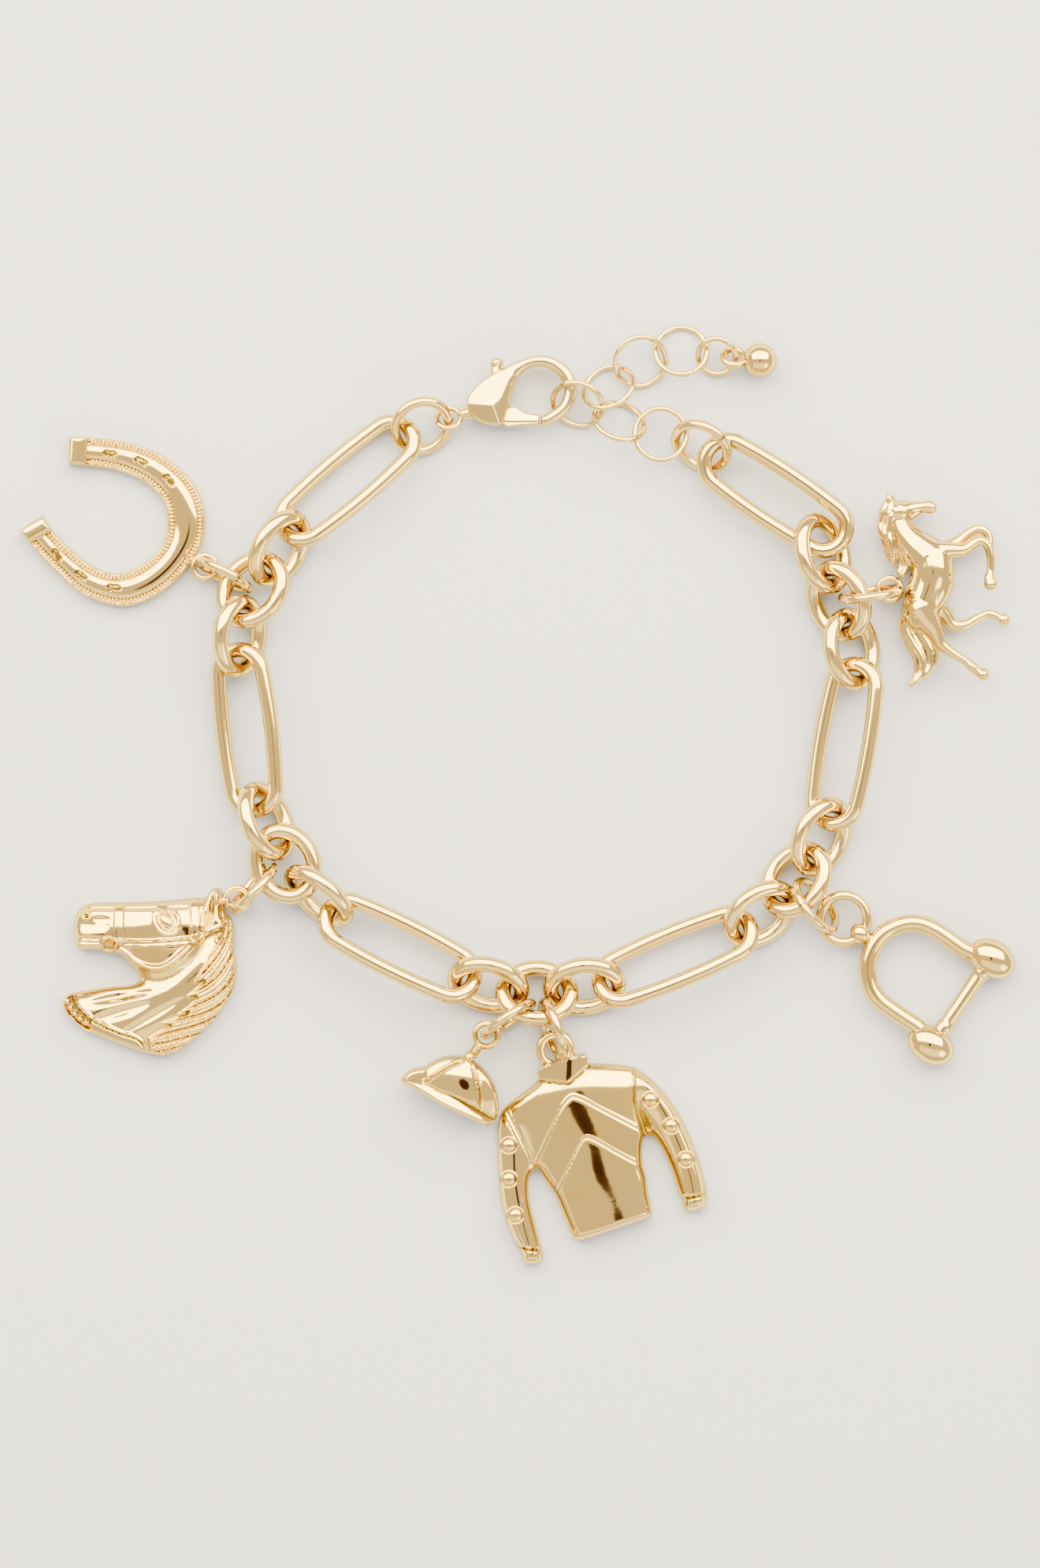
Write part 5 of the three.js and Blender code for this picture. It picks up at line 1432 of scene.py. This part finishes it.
# Each limb is a run of x, y, height off the middle, and radius.
HORSE_LIMBS = {
    "head": [(-5.3, 7.9, 0.1, 0.80), (-4.6, 7.7, 0.2, 1.02), (-3.5, 8.0, 0.1, 0.70), (-2.5, 8.15, 0.1, 0.52),
             (-1.8, 8.2, 0.1, 0.60), (-1.45, 8.1, 0.1, 0.56)],
    "jaw": [(-4.3, 7.0, 0.2, 0.50), (-3.7, 7.2, 0.2, 0.40), (-2.6, 7.75, 0.1, 0.30)],
    "belly": [(-0.6, 1.8, 0.3, 1.25), (-0.7, 0.2, 0.3, 1.30), (-1.3, -1.2, 0.3, 1.20)],
    "neck": [(-4.9, 7.3, 0.0, 0.85), (-4.6, 6.4, 0.0, 0.98), (-4.0, 5.3, 0.0, 1.22), (-3.0, 4.2, 0.0, 1.55),
             (-1.9, 3.2, 0.0, 1.85)],
    "body": [(-1.4, 2.9, 0.0, 1.90), (-1.3, 1.6, 0.0, 1.95), (-1.7, 0.2, 0.0, 1.80), (-2.2, -1.2, 0.0, 1.72),
             (-2.6, -2.5, 0.0, 1.65)],
    "near_fore": [(-1.4, 3.6, 0.7, 1.05), (0.3, 3.75, 0.7, 0.78), (1.9, 3.85, 0.6, 0.58),
                  (3.3, 4.7, 0.5, 0.46), (4.2, 4.35, 0.5, 0.42), (4.6, 3.1, 0.5, 0.38),
                  (4.6, 1.6, 0.5, 0.34), (4.45, 1.0, 0.5, 0.46), (4.6, 0.35, 0.5, 0.62)],
    "far_fore": [(-0.2, 3.8, -0.6, 0.80), (1.3, 4.6, -0.7, 0.55), (2.6, 5.6, -0.7, 0.46),
                 (3.6, 5.95, -0.7, 0.44), (4.4, 5.4, -0.7, 0.40), (4.55, 4.4, -0.7, 0.42)],
    "near_hind": [(-2.6, -2.2, 0.5, 1.45), (-1.7, -3.5, 0.6, 1.05), (-0.9, -4.7, 0.6, 0.70),
                  (-0.3, -5.9, 0.6, 0.52), (0.8, -6.75, 0.6, 0.44), (2.0, -7.5, 0.6, 0.38),
                  (2.7, -8.1, 0.6, 0.48), (3.2, -8.5, 0.6, 0.40), (3.8, -8.85, 0.6, 0.60)],
    "far_hind": [(-1.3, -1.6, -0.5, 1.10), (-0.1, -2.6, -0.6, 0.80), (0.8, -3.8, -0.6, 0.58),
                 (2.1, -3.8, -0.6, 0.46), (3.3, -3.15, -0.6, 0.38), (4.3, -2.7, -0.6, 0.36),
                 (5.0, -2.8, -0.6, 0.42), (5.5, -3.05, -0.6, 0.36), (6.0, -3.25, -0.6, 0.56)],
    "near_ear": [(-5.5, 8.5, 0.5, 0.30), (-5.8, 9.1, 0.6, 0.26), (-5.9, 9.45, 0.6, 0.12)],
    "far_ear": [(-5.1, 8.4, -0.1, 0.30), (-5.3, 9.0, -0.1, 0.24), (-5.4, 9.3, -0.1, 0.12)],
}
HORSE_MANE = [
    [(-5.7, 8.7), (-6.4, 7.4), (-6.6, 6.2), (-6.3, 5.2)],
    [(-5.5, 8.2), (-6.0, 6.8), (-6.2, 5.4), (-5.8, 4.2)],
    [(-5.5, 7.2), (-5.7, 5.8), (-5.6, 4.4), (-5.5, 3.2)],
    [(-5.2, 6.4), (-5.2, 5.0), (-5.0, 3.6), (-5.1, 2.2)],
    [(-4.9, 5.4), (-4.7, 4.2), (-4.4, 2.9), (-4.7, 1.5)],
    [(-4.2, 4.4), (-4.0, 3.3), (-3.9, 2.2), (-4.4, 1.2)],
    [(-6.2, 6.0), (-6.2, 5.0), (-5.9, 3.8), (-5.4, 2.7)],
]
HORSE_TAIL = [
    [(-4.2, -2.6), (-4.3, -4.2), (-3.6, -5.9), (-2.9, -7.4), (-2.9, -8.8), (-3.4, -9.9)],
    [(-4.0, -2.8), (-4.0, -4.2), (-3.2, -5.8), (-2.4, -7.2), (-2.3, -8.6), (-3.0, -9.6)],
    [(-3.9, -3.2), (-3.7, -4.4), (-2.8, -5.7), (-1.9, -7.0), (-1.8, -8.2), (-2.5, -9.3)],
    [(-2.9, -3.8), (-2.3, -4.9), (-1.7, -5.9), (-1.4, -7.0), (-1.5, -8.1), (-2.2, -9.1)],
    [(-3.3, -3.6), (-2.9, -4.9), (-2.2, -6.1), (-1.7, -7.3), (-1.9, -8.6), (-2.7, -9.5)],
    [(-2.3, -3.6), (-1.7, -4.7), (-1.2, -5.7), (-1.0, -6.8), (-1.2, -7.9), (-2.0, -8.9)],
]


def smooth_run(rows, per_span=6):
    """A smooth run through rows of any width."""
    rows = np.array(rows, float)
    made = []
    for i in range(len(rows) - 1):
        a, b = rows[i], rows[i + 1]
        before = rows[max(i - 1, 0)]
        after = rows[min(i + 2, len(rows) - 1)]
        made += [bend(a, b, (b - before) / 2, (after - a) / 2, k / per_span) for k in range(per_span)]
    made.append(rows[-1])
    return np.array(made)


def fused(name, pieces, voxel, rounds):
    """Fuses overlapping pieces into one smooth skin."""
    lump = merged(name + "_lump", pieces)
    remesh = lump.modifiers.new("fuse", "REMESH")
    remesh.mode = "VOXEL"
    remesh.voxel_size = voxel * MM
    relax = lump.modifiers.new("relax", "SMOOTH")
    relax.factor = 0.5
    relax.iterations = rounds
    return plain_mesh(lump, name)


class BRACELET_OT_running_horse(bpy.types.Operator):
    """Makes the running horse in the round, with its mane, tail and eye"""

    bl_idname = "bracelet.running_horse"
    bl_label = "Running horse"

    def execute(self, context):
        place = placed("running_horse")
        pieces = []
        for name, rows in HORSE_LIMBS.items():
            run = smooth_run(rows)
            centres = np.column_stack([run[:, :2] + place, run[:, 2] + HORSE_MIDDLE])
            pieces.append(sweep("horse_" + name, centres, run[:, 3] * LIMB_SHARE, sides=24))
        for i, path in enumerate(HORSE_MANE):
            run = smooth_run(path)
            lift = 0.45 + 0.22 * (i % 3 - 1)
            shares = np.linspace(0, 1, len(run))
            radii = 0.46 - 0.22 * shares + 0.06 * np.sin(9 * shares + i)
            for height in (HORSE_MIDDLE + lift, HORSE_MIDDLE - lift):
                pieces.append(sweep("horse_mane", flat_run(run + place, height), radii, sides=14))
        for i, path in enumerate(HORSE_TAIL):
            run = smooth_run(path)
            shares = np.linspace(0, 1, len(run))
            radii = 0.40 - 0.20 * np.abs(shares - 0.45)
            height = HORSE_MIDDLE + 0.18 * (i % 2)
            pieces.append(sweep("horse_tail", flat_run(run + place, height), radii, sides=14))
        horse = fused("running_horse_cast", pieces, 0.10, 2)
        # The side that lies on the floor is flatter than the side that shows.
        middle = HORSE_MIDDLE * MM
        lowest = min(vertex.co.z for vertex in horse.data.vertices)
        share = (middle - FLOOR_GAP * MM) / (middle - lowest)
        for vertex in horse.data.vertices:
            if vertex.co.z < middle:
                vertex.co.z = middle - (middle - vertex.co.z) * share
        # Painted shade: the skin is drawn darker where it is hollow.
        painted_hollow_shade_from_form(horse)
        eye = charm_eye("running_horse_eye", place + (-5.6, -0.2), 180)
        finish_piece(merged("running_horse", [horse, eye]), "charm_gold", ["running_horse"])
        return {"FINISHED"}


def painted_hollow_shade_from_form(made):
    """Stores how far each point of a skin lies inside its neighbours' mean, as painted shade: the plate is
    drawn darker there.
    """
    mesh = made.data
    count = len(mesh.vertices)
    points = np.empty(count * 3)
    mesh.vertices.foreach_get("co", points)
    points = points.reshape(-1, 3) / MM
    normals = np.empty(count * 3)
    mesh.vertices.foreach_get("normal", normals)
    edges = np.empty(len(mesh.edges) * 2, int)
    mesh.edges.foreach_get("vertices", edges)
    edges = edges.reshape(-1, 2)
    mean = points.copy()
    for _ in range(8):
        total = np.zeros((count, 3))
        share = np.zeros(count)
        for a, b in ((0, 1), (1, 0)):
            np.add.at(total, edges[:, a], mean[edges[:, b]])
            np.add.at(share, edges[:, a], 1)
        mean = total / np.maximum(share, 1)[:, None]
    depth = ((mean - points) * normals.reshape(-1, 3)).sum(1)
    layer = mesh.attributes.new("hollow", "FLOAT", "POINT")
    layer.data.foreach_set("value", np.clip((depth - 0.02) / 0.10, 0, 1).astype(np.float32))


# Clasp

CLASP_OUTER = [
    (-5.35, -2.6), (-5.3, -1.9), (-4.9, -1.2), (-3.87, -0.15), (-2.64, 0.68), (-1.42, 1.32),
    (-0.2, 1.88), (1.03, 2.36), (2.26, 2.52),
    (3.48, 2.3), (4.46, 1.75), (5.28, 0.95), (5.76, 0.05), (5.92, -0.7), (5.86, -1.6),
    (5.44, -2.72), (4.7, -3.62), (3.64, -4.35), (2.7, -4.72, 1), (2.2, -4.78, 1),
]
CLASP_INNER = [
    (2.24, -3.66, 1), (2.7, -3.5, 1), (3.35, -3.05), (4.1, -2.45), (4.46, -1.6), (4.5, -0.92),
    (4.3, -0.19), (3.8, 0.54), (3.07, 1.08),
    (2.25, 1.32), (1.44, 1.25), (0.7, 0.93), (0.13, 0.44), (-0.28, -0.2), (-0.6, -1.1),
    (-0.9, -2.4), (-1.15, -3.4), (-1.5, -4.6, 1),
]
CLASP_FOOT = [(-2.2, -4.78), (-3.05, -4.72), (-4.0, -4.4), (-4.8, -3.9), (-5.2, -3.3)]
CLASP_MIDDLE = 1.9
CLASP_RIDGE = [
    (3.4, 1.4), (2.5, 1.69), (1.6, 1.6), (0.7, 1.36), (-0.19, 0.87), (-0.93, 0.14), (-1.42, -0.92),
    (-1.9, -2.0), (-2.65, -2.68, 1), (-1.9, -4.9, 1),
]
LEVER_OUTLINE = [
    (-1.0, -2.85), (-0.7, -2.68), (-0.2, -2.85), (0.4, -3.2), (1.2, -3.45), (2.14, -3.56, 1),
    (2.04, -4.62, 1), (0.8, -4.68), (-0.3, -4.75), (-1.4, -4.78), (-1.75, -4.2), (-1.9, -3.4), (-1.6, -2.9),
]
LEVER_ARM = [(-1.5, -3.9), (-2.3, -2.2), (-2.5, -0.2), (-2.35, 1.3)]


def clasp_half(points, depth):
    """Half the clasp's thickness: flat facets over the body that draw in to a round hook."""
    outer, _ = path_distance(points, smooth_path(CLASP_OUTER, closed=False))
    inner, _ = path_distance(points, smooth_path(CLASP_INNER[1:], closed=False))
    span = outer + inner
    share = outer / np.maximum(span, 1e-6)

    def crown(spots):
        """The upper facet leans to the back, the lower one slightly to the front."""
        x = spots[:, 0] + 2.65
        y = spots[:, 1] + 2.68
        return np.minimum(1.75 + 0.038 * x - 0.22 * y, 1.75 + 0.06 * x + 0.07 * y)

    ridge = smooth_path(CLASP_RIDGE, closed=False)
    far, along = path_distance(points, ridge)
    steps = np.concatenate([[0], np.cumsum(np.linalg.norm(np.diff(ridge, axis=0), axis=1))])
    spot = np.column_stack([np.interp(along, steps, ridge[:, i]) for i in (0, 1)])
    hollow_side = inside(points, np.concatenate([ridge, [(8, -6), (8, 1)]]))
    body = np.where(hollow_side, crown(spot) - 0.80 * far, crown(points))
    # The hook itself is round in section.
    hook = 0.86 * np.sqrt(np.clip(1 - ((share - 0.5) / 0.62)**2, 0, 1))
    half = hook + (body - hook) * ramp(span, 1.5, 2.4)
    return np.maximum(half, 0.25) * dome(depth, 0.2, 1.0, 0.30)


def lever_top(points, depth):
    """The lever's blade is tilted and steps down at its front edge."""
    tilt = 0.13 * (points[:, 1] + 4.0) + 0.3 * ramp(-points[:, 1], 4.26, 4.34)
    return CLASP_MIDDLE + dome(depth, 0.35, 0.62, 0.2) - tilt


class BRACELET_OT_clasp(bpy.types.Operator):
    """Makes the clasp's body with its eye, and the lever that closes its hook"""

    bl_idname = "bracelet.clasp"
    bl_label = "Clasp"

    def execute(self, context):
        place = placed("clasp")
        line = np.concatenate([
            smooth_path(CLASP_OUTER, closed=False), smooth_path(CLASP_INNER, closed=False),
            smooth_path(CLASP_FOOT, closed=False)])
        shell = relief_mesh("clasp_shell", [line], place, 0.055,
                            lambda points, depth: CLASP_MIDDLE + clasp_half(points, depth),
                            lambda points, depth: CLASP_MIDDLE - clasp_half(points, depth))
        eye = eye_loop("clasp_eye", place + (-7.15, -3.9), 2.9, 0.52, 1.78, 8, -28)
        neck = sweep("clasp_neck", [at(place, -5.7, -3.5, 1.8), at(place, -4.8, -3.3, 1.85)], [0.5, 0.8])
        finish_piece(merged("clasp_body", [shell, eye, neck]), "clasp_gold", ["clasp_body"])
        blade = relief_mesh("lever_blade", [smooth_path(LEVER_OUTLINE)], place, 0.07, lever_top,
                            lambda points, depth: CLASP_MIDDLE - dome(depth, 0.35, 0.62, 0.3))
        arm = sweep("lever_arm", flat_run(np.array(LEVER_ARM) + place, CLASP_MIDDLE), [0.5, 0.5, 0.45, 0.55])
        tab = blob("lever_tab", at(place, -2.3, 1.7, CLASP_MIDDLE), (0.72, 0.56, 0.78), 20)
        finish_piece(merged("clasp_lever", [blade, arm, tab]), "clasp_gold", ["clasp_lever"], LEVER_BODY)
        return {"FINISHED"}


# End ball

BALL_HEIGHT = 1.78


class BRACELET_OT_end_ball(bpy.types.Operator):
    """Makes the ball that ends the extender, with its loop"""

    bl_idname = "bracelet.end_ball"
    bl_label = "End ball"

    def execute(self, context):
        place = placed("end_ball")
        ball = blob("end_ball_bead", (*place, BALL_HEIGHT), (1.75, 1.75, 1.75), 0, 64, 40)
        eye = eye_loop("end_ball_loop", place + (-2.65, 0.3), 2.9, 0.7, BALL_HEIGHT, 174, 40, sides=20)
        finish_piece(merged("end_ball", [ball, eye]), "charm_gold", ["end_ball"])
        return {"FINISHED"}


# Stage, in metres

class StageColours(bpy.types.PropertyGroup):
    """Colours and light of the stage."""

    floor: bpy.props.FloatVectorProperty(
        name="Floor", description="Colour of the pale floor", subtype="COLOR", size=4, min=0.0, max=1.0,
        default=linear("#cdd0dc"))
    surround: bpy.props.FloatVectorProperty(
        name="Surround", description="Colour of the light from all round", subtype="COLOR", size=4,
        min=0.0, max=1.0, default=linear("#d9c9c5"))
    surround_strength: bpy.props.FloatProperty(
        name="Surround strength", description="Strength of that light", min=0.0, default=1.6)
    softbox_power: bpy.props.FloatProperty(
        name="Softboxes", description="Share of their usual power that the softboxes give",
        subtype="FACTOR", min=0.0, max=2.0, default=1.0)


FLOOR_HALF = 1.2
# Each softbox: where it hangs, its width and depth, its power in watts and its colour.
SOFTBOXES = {
    "top_softbox": ((0.0, 0.41, 0.57), (1.9, 0.72), 53.0, "#fff2ca"),
    "low_softbox": ((0.0, -0.45, 0.50), (1.4, 0.5), 2.6, "#fff8ee"),
    "right_softbox": ((0.45, -0.38, 0.36), (0.35, 0.3), 1.2, "#fffdf8"),
}
SHADE_PLACE = (0.0, -0.025, 0.66)
SHADE_HALF = (0.052, 0.080)
SHADE_COLOUR = "#2a1612"
CAMERA_HEIGHT = 0.62
# What the camera looks at in the plan, and the height at which the frame is as tall as below.
CAMERA_AIM = (0.0004, 0.00112)
CHAIN_LEVEL = 0.0025
FRAME_TALL = 0.1592
SENSOR = 36.0


def matt_material(name, colour, roughness):
    """A plain dull surface."""
    made = bpy.data.materials.new(name)
    made.use_nodes = True
    shader = made.node_tree.nodes["Principled BSDF"]
    shader.inputs["Base Color"].default_value = colour
    shader.inputs["Roughness"].default_value = roughness
    return made, shader


class BRACELET_OT_stage(bpy.types.Operator):
    """Makes the floor, the lights and the camera"""

    bl_idname = "bracelet.stage"
    bl_label = "Stage"

    def execute(self, context):
        colours = context.scene.bracelet_stage
        work = bmesh.new()
        bmesh.ops.create_grid(work, x_segments=1, y_segments=1, size=FLOOR_HALF)
        mesh = bpy.data.meshes.new("floor")
        work.to_mesh(mesh)
        work.free()
        floor = bpy.data.objects.new("floor", mesh)
        context.collection.objects.link(floor)
        # Matt studio paper: soft shadows and no shine.
        paper, _ = matt_material("white_paper", colours.floor, 0.9)
        mesh.materials.append(paper)
        for name, (place, size, power, colour) in SOFTBOXES.items():
            self.light(context, name, place, size, power * colours.softbox_power, colour)
        self.card(context)
        world = bpy.data.worlds.new("studio") if not context.scene.world else context.scene.world
        context.scene.world = world
        world.use_nodes = True
        sky = world.node_tree.nodes["Background"]
        sky.inputs["Color"].default_value = colours.surround
        sky.inputs["Strength"].default_value = colours.surround_strength
        self.camera(context)
        return {"FINISHED"}

    def light(self, context, name, place, size, power, colour):
        """A rectangular softbox turned to the middle of the floor."""
        lamp = bpy.data.lights.new(name, "AREA")
        lamp.shape = "RECTANGLE"
        lamp.size, lamp.size_y = size
        lamp.energy = power
        lamp.color = linear(colour)[:3]
        made = bpy.data.objects.new(name, lamp)
        made.location = place
        made.rotation_euler = (-Vector(place)).to_track_quat("-Z", "Y").to_euler()
        context.collection.objects.link(made)

    def card(self, context):
        """A dark oval card over the camera, which the polish mirrors as its darkest streaks."""
        work = bmesh.new()
        bmesh.ops.create_circle(work, cap_ends=True, segments=48, radius=1.0)
        bmesh.ops.scale(work, verts=work.verts, vec=(*SHADE_HALF, 1.0))
        mesh = bpy.data.meshes.new("camera_shade")
        work.to_mesh(mesh)
        work.free()
        made = bpy.data.objects.new("camera_shade", mesh)
        for vertex in mesh.vertices:
            vertex.co += Vector(SHADE_PLACE)
        context.collection.objects.link(made)
        # Felt, which gives no shine of its own.
        felt, shader = matt_material("black_felt", linear(SHADE_COLOUR), 1.0)
        shader.inputs["Specular IOR Level"].default_value = 0.0
        mesh.materials.append(felt)
        # Only the polish sees it, so that it never stands in front of another view.
        made.visible_camera = False

    def camera(self, context):
        """Straight above, so that the photograph's frame covers 105.6 by 159.2 mm."""
        lens = bpy.data.cameras.new("camera")
        lens.sensor_width = SENSOR
        lens.lens = SENSOR * (CAMERA_HEIGHT - CHAIN_LEVEL) / FRAME_TALL
        made = bpy.data.objects.new("camera", lens)
        shift = plan_shift() * MM
        made.location = (CAMERA_AIM[0] + shift[0], CAMERA_AIM[1] + shift[1], CAMERA_HEIGHT)
        context.collection.objects.link(made)
        context.scene.camera = made


class BRACELET_PT_panel(bpy.types.Panel):
    """Lists what makes up the bracelet"""

    bl_label = "Bracelet"
    bl_idname = "BRACELET_PT_panel"
    bl_space_type = "VIEW_3D"
    bl_region_type = "UI"
    bl_category = "Bracelet"

    def draw(self, context):
        for name, kind in GROUPS.items():
            column = self.layout.column(align=True)
            for field in kind.__annotations__:
                column.prop(getattr(context.scene, name), field)
        for operator in OPERATORS:
            self.layout.operator(operator.bl_idname)


OPERATORS = (
    BRACELET_OT_stage,
    BRACELET_OT_chain,
    BRACELET_OT_small_rings,
    BRACELET_OT_horseshoe,
    BRACELET_OT_horse_head,
    BRACELET_OT_racing_jersey,
    BRACELET_OT_jockey_cap,
    BRACELET_OT_shackle,
    BRACELET_OT_running_horse,
    BRACELET_OT_clasp,
    BRACELET_OT_end_ball,
)
GROUPS = {
    "bracelet_plates": PlateColours,
    "bracelet_links": LinkSizes,
    "bracelet_charms": CharmSizes,
    "bracelet_stage": StageColours,
}
CLASSES = (*GROUPS.values(), *OPERATORS, BRACELET_PT_panel)


def register():
    """Registers the classes, and gives each scene its sizes and colours."""
    for kind in CLASSES:
        bpy.utils.register_class(kind)
    bpy.types.Scene.bracelet_plates = bpy.props.PointerProperty(type=PlateColours)
    bpy.types.Scene.bracelet_links = bpy.props.PointerProperty(type=LinkSizes)
    bpy.types.Scene.bracelet_charms = bpy.props.PointerProperty(type=CharmSizes)
    bpy.types.Scene.bracelet_stage = bpy.props.PointerProperty(type=StageColours)


def unregister():
    """Takes back what register gave."""
    for name in GROUPS:
        delattr(bpy.types.Scene, name)
    for kind in reversed(CLASSES):
        bpy.utils.unregister_class(kind)


def main():
    """Makes the bracelet and its stage."""
    register()
    for operator in OPERATORS:
        group, name = operator.bl_idname.split(".")
        getattr(getattr(bpy.ops, group), name)()


if __name__ == "__main__":
    main()
